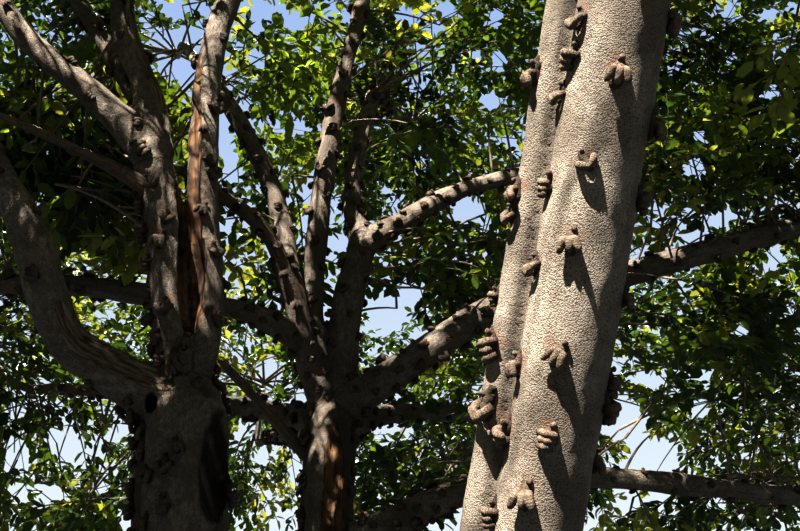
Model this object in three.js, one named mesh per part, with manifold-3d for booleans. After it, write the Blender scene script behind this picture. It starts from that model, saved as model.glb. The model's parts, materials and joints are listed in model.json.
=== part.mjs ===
// Knobbly fig tree: three leaning stems from one root, spurred boughs and masses of leaves.
// Millimetres, +Z up, the origin at ground level in the middle of the root crown.
// Headings are in degrees: 0 is to the right, 90 to the back, 270 to the front.
import * as THREE from "three";
import { mergeVertices } from "three/addons/utils/BufferGeometryUtils.js";
import Module from "manifold-3d";

const wasm = await Module();
wasm.setup();

// Clearances
const SEAT_GAP = 0.3; // between a limb and the limb that carries it
const SPACE_MARGIN = 25; // between a leaf and the edge of its mass's own space
const LIMB_MARGIN = 60; // between a leaf and any limb it doesn't grow on

// Root crown
const CROWN_HEIGHT = 600; // where the root crown ends and the stems begin
const FLARE = 0.95; // how much a foot widens at the ground, as a share of its radius
const FLARE_HEIGHT = 260;
const FOOT_SWELL = 22; // the root crown is this much wider all round than the stems above
const BUTTRESS_RISE = 520; // a surface ridge leaves its stem at this height
const BUTTRESS_RADIUS = 95;
const BUTTRESS_FOOT = 60;
const MOUND = [560, 560, 330]; // half sizes of the wood that joins the feet

// Limbs
const STEM_SIDES = 8;
const RIB_SIDES = 5;
const BOUGH_SIDES = 6;
const STEM_RING_STEP = 560;
const RING_STEP = 680; // along a bough, from one ring of its mesh to the next
const COLLAR = 0.3; // swelling where a bough leaves its parent
const COLLAR_LENGTH = 220;
const DOME_SHARE = 0.1; // the last part of a stem, which rounds off under its fork

// Spurs: the woody knobs that carry the figs
const SPUR = [46, 46, 62]; // half sizes of a knob
const SPUR_SUNK = 0.55; // share of the knob's half width sunk in the bark
const SPUR_STEP = 1550; // along a bough, from one modelled knob to the next
const GOLDEN = 137.508; // turn between one knob or twig and the next

// Leaf masses
const TWIGS = 4; // twigs on a mass's stem
const SPRAYS = 3; // leaves at a twig's end, each of them standing for a spray
const LEAF = { length: 1250, width: 800, thick: 40, sunk: 8 };
const LEAF_FITS = [1, 0.86, 0.74, 0.62]; // sizes tried, as shares of the full leaf
const LEAF_TILT = 1.0; // how far a leaf turns out from its twig
const TWIG_RADIUS = 27;
const TWIG_REACH = 0.46; // how far out a twig ends, as a share of the mass
const STEM_TIP = 28; // radius at the end of a mass's stem
const RETRIES = 9;

// Each stem: its foot, radii and legs. A leg is [heading, rise, length].
// A rib is a fluted ridge fused along the stem: heading, distance from the axis, share of the radius.
const STEMS = [
  {
    name: "left_stem", foot: [-420, -250], thick: 182, thin: 192,
    legs: [[221, 84, 1110], [216, 88, 1090], [203, 85, 660]],
    ribs: [[172, 92, 0.66], [8, 96, 0.64], [80, 90, 0.6]],
    buttresses: [[195, 700], [250, 640]],
  },
  {
    name: "centre_stem", foot: [-60, 520], thick: 172, thin: 180,
    legs: [[84, 76, 1140], [91, 74, 1360], [95, 80, 870]],
    ribs: [[185, 82, 0.6], [330, 78, 0.6]],
    buttresses: [[60, 680], [120, 640]],
  },
  {
    name: "right_stem", foot: [415, -170], thick: 170, thin: 174,
    legs: [[294, 62, 1130], [294, 62, 1210], [292, 64, 1370], [292, 63, 1460]],
    ribs: [[145, 138, 0.6]],
    buttresses: [[345, 660], [275, 640]],
  },
];

// Each bough: the limb it leaves, where along that limb (in its legs), radii and legs.
// dead limbs carry no leaves and end in the open.
const BOUGHS = [
  { name: "bough_left_elbow", from: "left_stem", at: 2.77, thick: 112, thin: 48,
    legs: [[211, 22, 370], [219, 29, 250], [238, 56, 430], [207, 57, 230], [193, 50, 310], [205, 27, 960]] },
  { name: "bough_left_front", from: "bough_left_elbow", at: 4.8, thick: 58, thin: 34,
    legs: [[252, 28, 790], [256, 29, 1120]] },
  { name: "bough_left_middle", from: "left_stem", at: 2.9, thick: 94, thin: 96,
    legs: [[250, 69, 420], [230, 77, 410], [199, 72, 380]] },
  { name: "bough_left_high", from: "bough_left_middle", at: 2.95, thick: 84, thin: 40,
    legs: [[201, 41, 370], [193, 41, 600], [215, 58, 870]] },
  { name: "bough_left_upright", from: "bough_left_middle", at: 2.9, thick: 92, thin: 38,
    legs: [[217, 81, 310], [198, 71, 630], [168, 86, 1400], [102, 87, 1100]] },
  { name: "bough_left_back", from: "bough_left_middle", at: 2.9, thick: 68, thin: 38,
    legs: [[138, 69, 330], [170, 58, 910], [145, 49, 960]] },
  { name: "bough_left_inner", from: "left_stem", at: 2.9, thick: 94, thin: 36,
    legs: [[318, 72, 400], [240, 81, 900], [359, 85, 910], [350, 65, 1450], [345, 68, 1080]] },
  { name: "bough_left_dead", from: "bough_left_middle", at: 2.3, thick: 38, thin: 18, dead: true,
    legs: [[221, 12, 340], [214, 10, 480]] },
  { name: "bough_right_front", from: "right_stem", at: 3.95, thick: 112, thin: 50,
    legs: [[319, 31, 880], [323, 18, 790]] },
  { name: "bough_front", from: "right_stem", at: 3.95, thick: 104, thin: 44,
    legs: [[259, 45, 1000], [255, 37, 910]] },
  { name: "bough_right_upright", from: "right_stem", at: 3.9, thick: 108, thin: 44,
    legs: [[323, 67, 870], [330, 70, 850], [326, 74, 630]] },
  { name: "bough_right_side", from: "right_stem", at: 3.85, thick: 100, thin: 46,
    legs: [[18, 29, 720], [14, 17, 860], [13, 8, 730]] },
  { name: "bough_right_inner", from: "bough_right_side", at: 1.8, thick: 58, thin: 34,
    legs: [[63, 53, 940], [67, 55, 850]] },
  { name: "bough_front_inner", from: "bough_front", at: 1.4, thick: 56, thin: 34,
    legs: [[171, 48, 950], [172, 52, 830]] },
  { name: "bough_centre_low_left", from: "centre_stem", at: 2.92, thick: 88, thin: 46,
    legs: [[217, 71, 310], [231, 19, 420], [206, 11, 330], [212, -4, 970], [185, -2, 390], [172, 19, 880]] },
  { name: "bough_centre_left", from: "centre_stem", at: 2.86, thick: 96, thin: 48,
    legs: [[215, 63, 350], [252, 51, 370], [207, 75, 850], [206, 59, 730], [121, 46, 1090]] },
  { name: "bough_centre_dead", from: "bough_centre_left", at: 2.1, thick: 60, thin: 34, dead: true,
    legs: [[237, 46, 500], [231, 11, 650]] },
  { name: "bough_centre_upright", from: "centre_stem", at: 2.86, thick: 104, thin: 42,
    legs: [[189, 77, 280], [248, 69, 500], [294, 76, 1190], [330, 78, 1100], [87, 80, 1300]] },
  { name: "bough_centre_back", from: "centre_stem", at: 2.86, thick: 108, thin: 92,
    legs: [[0, 75, 280], [278, 63, 440], [323, 73, 480]] },
  { name: "bough_centre_back_up", from: "bough_centre_back", at: 2.95, thick: 76, thin: 44,
    legs: [[146, 75, 420], [24, 80, 850], [83, 31, 980]] },
  { name: "bough_centre_right", from: "bough_centre_back", at: 2.93, thick: 82, thin: 46,
    legs: [[355, 30, 260], [21, 37, 580], [23, 29, 990], [29, 57, 830]] },
  { name: "bough_centre_low_right", from: "centre_stem", at: 2.86, thick: 108, thin: 62,
    legs: [[345, 30, 540], [349, 30, 750], [18, 21, 990], [15, 21, 1660]] },
  { name: "bough_centre_peeled", from: "centre_stem", at: 1.91, thick: 98, thin: 52,
    legs: [[345, 19, 480], [352, 21, 380], [11, 9, 820], [17, -1, 1510], [51, 18, 840]] },
  { name: "bough_broken", from: "centre_stem", at: 2.45, thick: 46, thin: 26, dead: true,
    legs: [[175, 22, 140], [227, 33, 440], [231, 29, 390]] },
  { name: "bough_back_left", from: "centre_stem", at: 2.75, thick: 90, thin: 46,
    legs: [[133, 21, 710], [145, 14, 1260], [158, 11, 980]] },
  { name: "bough_back_middle", from: "centre_stem", at: 2.57, thick: 86, thin: 44,
    legs: [[105, 21, 830], [109, 13, 1090], [107, 12, 740]] },
  { name: "bough_back_right", from: "centre_stem", at: 2.69, thick: 86, thin: 44,
    legs: [[61, 23, 890], [57, 12, 1220], [60, 7, 810]] },
];

// The rows of knobs that show on the right stem: bearing round the stem and heights.
const SPUR_ROWS = [
  { limb: "right_stem", bearing: 258, heights: [2190, 2385, 2640, 2970, 3215, 3500, 3790] },
  { limb: "right_stem", bearing: 190, heights: [2140, 2360, 2590, 2830, 3090, 3340, 3640] },
  { limb: "right_stem", bearing: 345, heights: [2260, 2480, 2760, 3050, 3280] },
  { limb: "left_stem", bearing: 225, heights: [1500, 2050, 2330] },
  { limb: "left_stem", bearing: 275, heights: [1750, 2180, 2540] },
  { limb: "centre_stem", bearing: 215, heights: [1900, 2300, 2650] },
  { limb: "centre_stem", bearing: 320, heights: [2100, 2800] },
];

// The open hollow low in the left stem's front right side
const HOLLOW = { at: [-395, -470, 2400], half: [78, 130, 215] };

// Half sizes of the masses in each layer of the crown
const LOW = [1900, 1900, 1400];
const MIDDLE = [1850, 1850, 1500];
const TOP = [1800, 1800, 1500];
// The scaled distance that shares out the room between the masses is measured with these
const SHARE = [1850, 1850, 1450];

// Each mass: the bough that carries it and its middle as heading, distance out and height.
const MASSES = [
  { name: "mass_left_low", on: "bough_left_elbow", heading: 208, out: 4150, up: 5150, half: LOW },
  { name: "mass_left_front", on: "bough_left_front", heading: 243, out: 4650, up: 6000, half: LOW },
  { name: "mass_left_high", on: "bough_left_high", heading: 214, out: 3250, up: 7400, half: MIDDLE },
  { name: "mass_left_back", on: "bough_left_back", heading: 167, out: 3050, up: 7200, half: MIDDLE },
  { name: "mass_top_left", on: "bough_left_upright", heading: 205, out: 1250, up: 9250, half: TOP },
  { name: "mass_top_right", on: "bough_left_inner", heading: 320, out: 1350, up: 9200, half: TOP },
  { name: "mass_right_front", on: "bough_right_front", heading: 311, out: 5100, up: 5800, half: LOW },
  { name: "mass_front", on: "bough_front", heading: 279, out: 4850, up: 6500, half: LOW },
  { name: "mass_right_high", on: "bough_right_upright", heading: 307, out: 3650, up: 8000, half: MIDDLE },
  { name: "mass_right_low", on: "bough_right_side", heading: 341, out: 4750, up: 5400, half: LOW },
  { name: "mass_right_inner", on: "bough_right_inner", heading: 352, out: 3200, up: 7500, half: MIDDLE },
  { name: "mass_front_inner", on: "bough_front_inner", heading: 263, out: 3050, up: 8000, half: MIDDLE },
  { name: "mass_far_left", on: "bough_centre_low_left", heading: 171, out: 4550, up: 4750, half: LOW },
  { name: "mass_centre_left", on: "bough_centre_left", heading: 122, out: 3350, up: 7200, half: MIDDLE },
  { name: "mass_top_back", on: "bough_centre_upright", heading: 85, out: 1650, up: 9250, half: TOP },
  { name: "mass_back_high", on: "bough_centre_back_up", heading: 82, out: 3750, up: 7000, half: MIDDLE },
  { name: "mass_centre_right", on: "bough_centre_right", heading: 41, out: 3550, up: 7200, half: MIDDLE },
  { name: "mass_far_right", on: "bough_centre_low_right", heading: 16, out: 5000, up: 5550, half: LOW },
  { name: "mass_right_back", on: "bough_centre_peeled", heading: 40, out: 5500, up: 4050, half: LOW },
  { name: "mass_back_left", on: "bough_back_left", heading: 137, out: 4800, up: 4450, half: LOW },
  { name: "mass_back", on: "bough_back_middle", heading: 102, out: 5150, up: 4500, half: LOW },
  { name: "mass_back_right", on: "bough_back_right", heading: 68, out: 5100, up: 4500, half: LOW },
];

const BARK = new THREE.MeshStandardMaterial({ color: 0x8b7a66, roughness: 0.9 });
const DEAD_WOOD = new THREE.MeshStandardMaterial({ color: 0x9c8468, roughness: 0.85 });
const LEAVES = new THREE.MeshStandardMaterial({ color: 0x3f5c22, roughness: 0.55 });

const UP = new THREE.Vector3(0, 0, 1);

// A repeatable value from 0 to 1 for a seed and a count
function rnd(seed, k) {
  const s = Math.sin(seed * 12.9898 + k * 78.233) * 43758.5453;
  return s - Math.floor(s);
}

function direction(heading, rise) {
  const h = THREE.MathUtils.degToRad(heading);
  const r = THREE.MathUtils.degToRad(rise);
  return new THREE.Vector3(Math.cos(r) * Math.cos(h), Math.cos(r) * Math.sin(h), Math.sin(r));
}

// The curve that runs through the ends of the legs
function legCurve(start, legs) {
  const points = [start.clone()];
  for (const [heading, rise, length] of legs) {
    points.push(points[points.length - 1].clone().addScaledVector(direction(heading, rise), length));
  }
  return new THREE.CatmullRomCurve3(points, false, "catmullrom", 0.5);
}

// The point a given number of legs along a limb
function pointAt(limb, legs) {
  return limb.curve.getPoint(legs / limb.legs.length);
}

function toManifold(geometry) {
  geometry.deleteAttribute("normal");
  geometry.deleteAttribute("uv");
  const merged = mergeVertices(geometry, 1e-4);
  return new wasm.Manifold(new wasm.Mesh({
    numProp: 3,
    vertProperties: new Float32Array(merged.attributes.position.array),
    triVerts: new Uint32Array(merged.index.array),
  }));
}

// A closed tube along a curve. Stations are shares of the curve, radius(u) is in mm,
// and grow is how far its walls and ends are moved outwards.
function tube(curve, sides, stations, radius, grow = 0) {
  const rings = stations.length - 1;
  const geometry = new THREE.CylinderGeometry(1, 1, 1, sides, rings, false);
  const frames = curve.computeFrenetFrames(96, false);
  const position = geometry.attributes.position;
  for (let i = 0; i < position.count; i++) {
    const u = stations[Math.round((position.getY(i) + 0.5) * rings)];
    const k = Math.round(u * 96);
    const across = frames.normals[k];
    const other = new THREE.Vector3().crossVectors(across, frames.tangents[k]);
    const point = curve.getPoint(u);
    const wide = radius(u) + grow;
    point.addScaledVector(across, position.getX(i) * wide);
    point.addScaledVector(other, position.getZ(i) * wide);
    if (u === 0) point.addScaledVector(frames.tangents[k], -grow);
    if (u === 1) point.addScaledVector(frames.tangents[k], grow);
    position.setXYZ(i, point.x, point.y, point.z);
  }
  return toManifold(geometry);
}

function evenStations(count) {
  return Array.from({ length: count + 1 }, (_, i) => i / count);
}

// An egg of wood with the given half sizes, its long way along the bark
function knob(centre, outward, along, grow) {
  const geometry = new THREE.OctahedronGeometry(1, 0);
  const side = new THREE.Vector3().crossVectors(along, outward).normalize();
  const upward = new THREE.Vector3().crossVectors(outward, side).normalize();
  const basis = new THREE.Matrix4().makeBasis(side, upward, outward);
  const sizes = [SPUR[0] + grow, SPUR[2] + grow, SPUR[1] + grow];
  geometry.applyMatrix4(new THREE.Matrix4().makeScale(...sizes));
  geometry.applyMatrix4(basis);
  geometry.translate(centre.x, centre.y, centre.z);
  return toManifold(geometry);
}

function union(solids) {
  return wasm.Manifold.union(solids);
}

// The largest piece alone: sealed hollows are filled and loose scraps dropped
function largestPiece(solid) {
  const pieces = solid.decompose();
  pieces.sort((a, b) => b.volume() - a.volume());
  return pieces[0];
}

// Stems

function stemRadius(stem, u) {
  const height = u * stem.legs.reduce((sum, leg) => sum + leg[2], 0);
  const flare = 1 + FLARE * Math.exp(-height / FLARE_HEIGHT);
  const dome = Math.max(0, (u - (1 - DOME_SHARE)) / DOME_SHARE);
  const rounded = Math.sqrt(Math.max(0.12, 1 - dome * dome));
  return (stem.thick + (stem.thin - stem.thick) * u) * flare * rounded;
}

function stemStations(stem) {
  const stations = [0, 0.07, 0.16];
  for (const u of evenStations(Math.round(stem.length / STEM_RING_STEP))) {
    if (u > 0.25 && u < 1 - DOME_SHARE) stations.push(u);
  }
  for (const dome of [0, 0.65, 1]) {
    stations.push(1 - DOME_SHARE + dome * DOME_SHARE);
  }
  return stations;
}

// The whole stem from the ground to its fork, with its ribs
function wholeStem(stem, ribs, grow) {
  const stations = stemStations(stem);
  const solids = [tube(stem.curve, STEM_SIDES, stations, (u) => stemRadius(stem, u), grow)];
  for (const [heading, out, share] of ribs) {
    const shift = direction(heading, 0).multiplyScalar(out);
    const points = stem.curve.points.map((p) => p.clone().add(shift));
    const curve = new THREE.CatmullRomCurve3(points, false, "catmullrom", 0.5);
    solids.push(tube(curve, RIB_SIDES, stations, (u) => stemRadius(stem, u) * share, grow));
  }
  return solids;
}

function buttress(stem, heading, reach) {
  const foot = new THREE.Vector3(stem.foot[0], stem.foot[1], 0);
  const top = foot.clone().addScaledVector(UP, BUTTRESS_RISE);
  const knee = foot.clone().addScaledVector(direction(heading, 0), reach * 0.45);
  knee.z = BUTTRESS_RISE * 0.33;
  const toe = foot.clone().addScaledVector(direction(heading, 0), reach);
  toe.z = -BUTTRESS_FOOT * 0.6;
  const curve = new THREE.CatmullRomCurve3([top, knee, toe], false, "catmullrom", 0.5);
  const radius = (u) => BUTTRESS_RADIUS + (BUTTRESS_FOOT - BUTTRESS_RADIUS) * u;
  return tube(curve, 4, evenStations(2), radius);
}

function ellipsoid(centre, half, across, down) {
  const geometry = new THREE.SphereGeometry(1, across, down);
  geometry.scale(...half);
  geometry.translate(...centre);
  return toManifold(geometry);
}

function rootCrown() {
  const solids = [ellipsoid([0, 0, 0], MOUND, 7, 4)];
  for (const stem of STEMS) {
    solids.push(...wholeStem(stem, stem.ribs.slice(0, 1), FOOT_SWELL));
    for (const [heading, reach] of stem.buttresses) {
      solids.push(buttress(stem, heading, reach));
    }
  }
  const cut = union(solids).trimByPlane([0, 0, 1], 0).trimByPlane([0, 0, -1], -CROWN_HEIGHT);
  return largestPiece(cut);
}

// Knobs on a stem: in rows at the given heights, along its bearing
function stemKnobs(stem, grow) {
  const knobs = [];
  for (const row of SPUR_ROWS.filter((r) => r.limb === stem.name)) {
    for (const height of row.heights) {
      let u = height / stem.curve.getPoint(1).z;
      for (let i = 0; i < 4; i++) {
        u += (height - stem.curve.getPoint(u).z) / stem.curve.getPoint(1).z;
      }
      const axis = stem.curve.getPoint(u);
      const outward = direction(row.bearing, 0);
      const surface = surfaceOut(stem, u, row.bearing) - SPUR[1] * SPUR_SUNK;
      const centre = axis.clone().addScaledVector(outward, surface);
      knobs.push(knob(centre, outward, stem.curve.getTangent(u), grow));
    }
  }
  return knobs;
}

// How far a stem's surface is from its axis at a bearing, ribs included
function surfaceOut(stem, u, bearing) {
  const radius = stemRadius(stem, u);
  let furthest = radius * 0.97;
  for (const [heading, out, share] of stem.ribs) {
    const turn = THREE.MathUtils.degToRad(bearing - heading);
    const across = out * Math.sin(turn);
    const rib = radius * share;
    if (Math.cos(turn) > 0 && Math.abs(across) < rib) {
      furthest = Math.max(furthest, out * Math.cos(turn) + Math.sqrt(rib * rib - across * across));
    }
  }
  return furthest;
}

function stemSolid(stem, grow) {
  let solid = union([...wholeStem(stem, stem.ribs, grow), ...stemKnobs(stem, grow)]);
  if (stem.name === "left_stem") {
    solid = solid.subtract(ellipsoid(HOLLOW.at, HOLLOW.half.map((h) => h - grow), 7, 6));
  }
  return solid.trimByPlane([0, 0, 1], CROWN_HEIGHT + SEAT_GAP - grow);
}

// Boughs

function boughRadius(bough, u) {
  const along = u * bough.length;
  const collar = 1 + COLLAR * Math.exp(-along / COLLAR_LENGTH);
  return (bough.thick + (bough.thin - bough.thick) * u) * collar;
}

function boughKnobs(bough, grow) {
  const knobs = [];
  if (bough.dead) return knobs;
  const count = Math.floor((bough.length - 400) / SPUR_STEP);
  for (let k = 0; k < count; k++) {
    const u = (400 + (k + 0.5) * SPUR_STEP) / bough.length;
    const turn = THREE.MathUtils.degToRad(GOLDEN * k + 360 * rnd(bough.seed, 3));
    const along = bough.curve.getTangent(u);
    const side = new THREE.Vector3().crossVectors(along, UP).normalize();
    const over = new THREE.Vector3().crossVectors(side, along);
    const outward = side.multiplyScalar(Math.cos(turn)).addScaledVector(over, Math.sin(turn));
    const centre = bough.curve.getPoint(u);
    centre.addScaledVector(outward, boughRadius(bough, u) * 0.95 - SPUR[1] * SPUR_SUNK);
    knobs.push(knob(centre, outward, along, grow));
  }
  return knobs;
}

function boughSolid(bough, grow) {
  const stations = evenStations(Math.max(3, Math.round(bough.length / RING_STEP)));
  const limb = tube(bough.curve, BOUGH_SIDES, stations, (u) => boughRadius(bough, u), grow);
  return union([limb, ...boughKnobs(bough, grow)]);
}

// Masses

function scaledDistance(point, centre, half) {
  const x = (point.x - centre.x) / half[0];
  const y = (point.y - centre.y) / half[1];
  const z = (point.z - centre.z) / half[2];
  return Math.sqrt(x * x + y * y + z * z);
}

// Whether a point is inside a mass's own space: its egg, and nearer to it than to any other mass
function inSpace(mass, point) {
  if (scaledDistance(point, mass.centre, mass.half) > 1) return false;
  const own = scaledDistance(point, mass.centre, SHARE) ** 2;
  for (const other of MASSES) {
    if (other === mass) continue;
    const apart = scaledDistance(other.centre, mass.centre, SHARE);
    const theirs = scaledDistance(point, other.centre, SHARE) ** 2;
    const clear = (theirs - own) / (2 * apart);
    if (clear * SHARE[2] < SPACE_MARGIN) return false;
  }
  return true;
}

// Whether a point keeps clear of every limb
function clearOfLimbs(point, margin) {
  for (const limb of LIMBS) {
    if (scaledDistance(point, limb.middle, [1, 1, 1]) > limb.around + margin) continue;
    for (const [a, b, radius] of limb.pieces) {
      const ab = b.clone().sub(a);
      const share = THREE.MathUtils.clamp(point.clone().sub(a).dot(ab) / ab.lengthSq(), 0, 1);
      if (a.clone().addScaledVector(ab, share).distanceTo(point) < radius + margin) return false;
    }
  }
  return true;
}

// Points spread over a leaf, from near its root to its tip
function leafPoints(root, along, across, fit) {
  const points = [];
  for (const [share, width] of [[0.25, 0.5], [0.5, 1], [0.75, 0.5], [1, 0]]) {
    for (const side of width ? [-1, -0.5, 0, 0.5, 1] : [0]) {
      const point = root.clone().addScaledVector(along, LEAF.length * fit * share);
      points.push(point.addScaledVector(across, (side * width * LEAF.width * fit) / 2));
    }
  }
  return points;
}

// A flat leaf of eight faces: root, two sides, tip, and a low ridge above and below
function leafSolid({ root, along, across, normal, fit }) {
  const geometry = new THREE.OctahedronGeometry(1, 0);
  const half = (LEAF.length * fit + LEAF.sunk) / 2;
  const basis = new THREE.Matrix4().makeBasis(along, across, normal);
  geometry.applyMatrix4(new THREE.Matrix4().makeScale(half, (LEAF.width * fit) / 2, LEAF.thick / 2));
  geometry.applyMatrix4(basis);
  const middle = root.clone().addScaledVector(along, half - LEAF.sunk);
  geometry.translate(middle.x, middle.y, middle.z);
  return toManifold(geometry);
}

function spiralDirection(k, count, turn) {
  const z = 1 - (2 * (k + 0.5)) / count;
  const around = THREE.MathUtils.degToRad(GOLDEN * k) + turn;
  const level = Math.sqrt(1 - z * z);
  return new THREE.Vector3(level * Math.cos(around), level * Math.sin(around), z);
}

// The twigs and leaves of a mass by its seeded rule: each twig has a root, an end and its leaves
function growth(mass) {
  const grown = [];
  const taken = []; // points of the leaves so far, which the next ones keep away from
  const scale = new THREE.Vector3(...mass.half);
  for (let k = 0; k < TWIGS; k++) {
    const seed = mass.seed * 31 + k;
    const outward = spiralDirection(k, TWIGS, 6.283 * rnd(mass.seed, 1));
    const root = mass.curve.getPoint(0.42 + (0.56 * (TWIGS - k - 0.5)) / TWIGS);
    let end = null;
    for (let attempt = 0; attempt < RETRIES && !end; attempt++) {
      const reach = TWIG_REACH * (1 - 0.12 * attempt);
      const aim = mass.centre.clone().add(outward.clone().multiply(scale).multiplyScalar(reach));
      const samples = [0.35, 0.6, 0.8, 1].map((share) => root.clone().lerp(aim, share));
      const free = samples.every((p) => inSpace(mass, p) && clearOfLimbs(p, LIMB_MARGIN));
      if (free && aim.distanceTo(root) > 200) end = aim;
    }
    if (!end) continue;
    const twig = { root, end, leaves: [] };
    const first = new THREE.Vector3().crossVectors(outward, UP);
    if (first.length() < 0.2) first.set(1, 0, 0);
    first.normalize();
    const second = new THREE.Vector3().crossVectors(outward, first).normalize();
    for (let j = 0; j < SPRAYS; j++) {
      let best = null;
      for (let attempt = 0; attempt < RETRIES; attempt++) {
        const n = seed * 17 + j * RETRIES + attempt;
        const turn = (6.283 * (j + rnd(n, 1) - 0.5)) / SPRAYS + 6.283 * rnd(seed, 2);
        const tilt = LEAF_TILT * (1.2 - 0.8 * rnd(n, 5));
        const along = outward.clone();
        along.addScaledVector(first, tilt * Math.cos(turn));
        along.addScaledVector(second, tilt * Math.sin(turn)).normalize();
        const lean = new THREE.Vector3(rnd(n, 2) - 0.5, rnd(n, 3) - 0.5, 0.25 + 0.5 * rnd(n, 4));
        const across = new THREE.Vector3().crossVectors(lean, along).normalize();
        const normal = new THREE.Vector3().crossVectors(along, across).normalize();
        const start = root.clone().lerp(end, 1 - 0.25 * j);
        const fit = LEAF_FITS.find((size) => {
          const points = leafPoints(start, along, across, size);
          return points.every((p) => inSpace(mass, p) && clearOfLimbs(p, LIMB_MARGIN));
        });
        if (!fit) continue;
        const outer = leafPoints(start, along, across, fit).slice(5);
        const room = fit * Math.min(LEAF.width, ...outer.flatMap((p) => taken.map((t) => t.distanceTo(p))));
        if (!best || room > best.room) {
          best = { root: start, along, across, normal, fit, outer, room };
        }
      }
      if (!best) continue;
      twig.leaves.push(best);
      taken.push(...best.outer);
    }
    if (twig.leaves.length) grown.push(twig);
  }
  return grown;
}

function massSolid(mass) {
  const stemRadiusAt = (u) => mass.bough.thin + (STEM_TIP - mass.bough.thin) * u;
  const solids = [tube(mass.curve, 4, evenStations(3), stemRadiusAt)];
  for (const twig of growth(mass)) {
    const line = new THREE.CatmullRomCurve3([twig.root, twig.end], false, "catmullrom", 0.5);
    const radius = (u) => TWIG_RADIUS * (1 - 0.4 * u);
    solids.push(tube(line, 3, evenStations(1), radius));
    for (const leaf of twig.leaves) {
      solids.push(leafSolid(leaf));
    }
  }
  return largestPiece(union(solids));
}

// Laying out

const LIMBS = [];

function addLimb(limb, start) {
  limb.curve = legCurve(start, limb.legs);
  limb.length = limb.legs.reduce((sum, leg) => sum + leg[2], 0);
  limb.seed = LIMBS.length + 1;
  LIMBS.push(limb);
}

// The straight pieces that clearances to a limb are measured from
function measureLimb(limb, radius) {
  const count = Math.ceil(limb.length / 180);
  limb.pieces = [];
  for (let i = 0; i < count; i++) {
    const u = i / count;
    limb.pieces.push([limb.curve.getPoint(u), limb.curve.getPoint((i + 1) / count), radius(u)]);
  }
  limb.middle = limb.curve.getPoint(0.5);
  limb.around = Math.max(...limb.pieces.map(([a, , r]) => a.distanceTo(limb.middle) + r)) + 200;
}

for (const stem of STEMS) {
  addLimb(stem, new THREE.Vector3(stem.foot[0], stem.foot[1], 0));
  measureLimb(stem, (u) => stemRadius(stem, u) * 1.5);
}
for (const bough of BOUGHS) {
  const parent = LIMBS.find((limb) => limb.name === bough.from);
  addLimb(bough, pointAt(parent, bough.at));
  measureLimb(bough, (u) => boughRadius(bough, u) + SPUR[1]);
}
MASSES.forEach((mass, i) => {
  mass.seed = i + 1;
  mass.bough = LIMBS.find((limb) => limb.name === mass.on);
  mass.centre = direction(mass.heading, 0).multiplyScalar(mass.out);
  mass.centre.z = mass.up;
  const tip = mass.bough.curve.getPoint(1);
  const along = mass.bough.curve.getTangent(1);
  const start = tip.clone().addScaledVector(along, SEAT_GAP);
  const reach = start.distanceTo(mass.centre);
  const bend = start.clone().addScaledVector(along, reach * 0.35);
  const past = mass.centre.clone().addScaledVector(mass.centre.clone().sub(bend), 0.15);
  const points = [start, bend, mass.centre.clone(), past];
  mass.curve = new THREE.CatmullRomCurve3(points, false, "catmullrom", 0.5);
});

// Building

const group = new THREE.Group();
group.name = "knobbly_fig_tree";

function addMesh(name, solid, material) {
  const mesh = solid.getMesh();
  const geometry = new THREE.BufferGeometry();
  geometry.setAttribute("position", new THREE.BufferAttribute(new Float32Array(mesh.vertProperties), 3));
  geometry.setIndex(new THREE.BufferAttribute(new Uint32Array(mesh.triVerts), 1));
  geometry.computeVertexNormals();
  const object = new THREE.Mesh(geometry, material);
  object.name = name;
  group.add(object);
}

function boxesMeet(a, b) {
  return [0, 1, 2].every((i) => a.min[i] < b.max[i] + 1 && b.min[i] < a.max[i] + 1);
}

addMesh("root_crown", rootCrown(), BARK);

const seats = []; // the grown solids that later limbs are cut back from
for (const limb of LIMBS) {
  const isStem = STEMS.includes(limb);
  let solid = isStem ? stemSolid(limb, 0) : boughSolid(limb, 0);
  const box = solid.boundingBox();
  for (const seat of seats) {
    if (boxesMeet(box, seat.boundingBox())) solid = solid.subtract(seat);
  }
  seats.push(isStem ? stemSolid(limb, SEAT_GAP) : boughSolid(limb, SEAT_GAP));
  addMesh(limb.name, largestPiece(solid), limb.dead ? DEAD_WOOD : BARK);
}
for (const mass of MASSES) {
  addMesh(mass.name, massSolid(mass), LEAVES);
}

export default group;
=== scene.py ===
"""Knobbly fig tree: three barked stems from one root, knob clusters, boughs, twigs and leaves."""

import json
import math
from functools import cache

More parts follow.
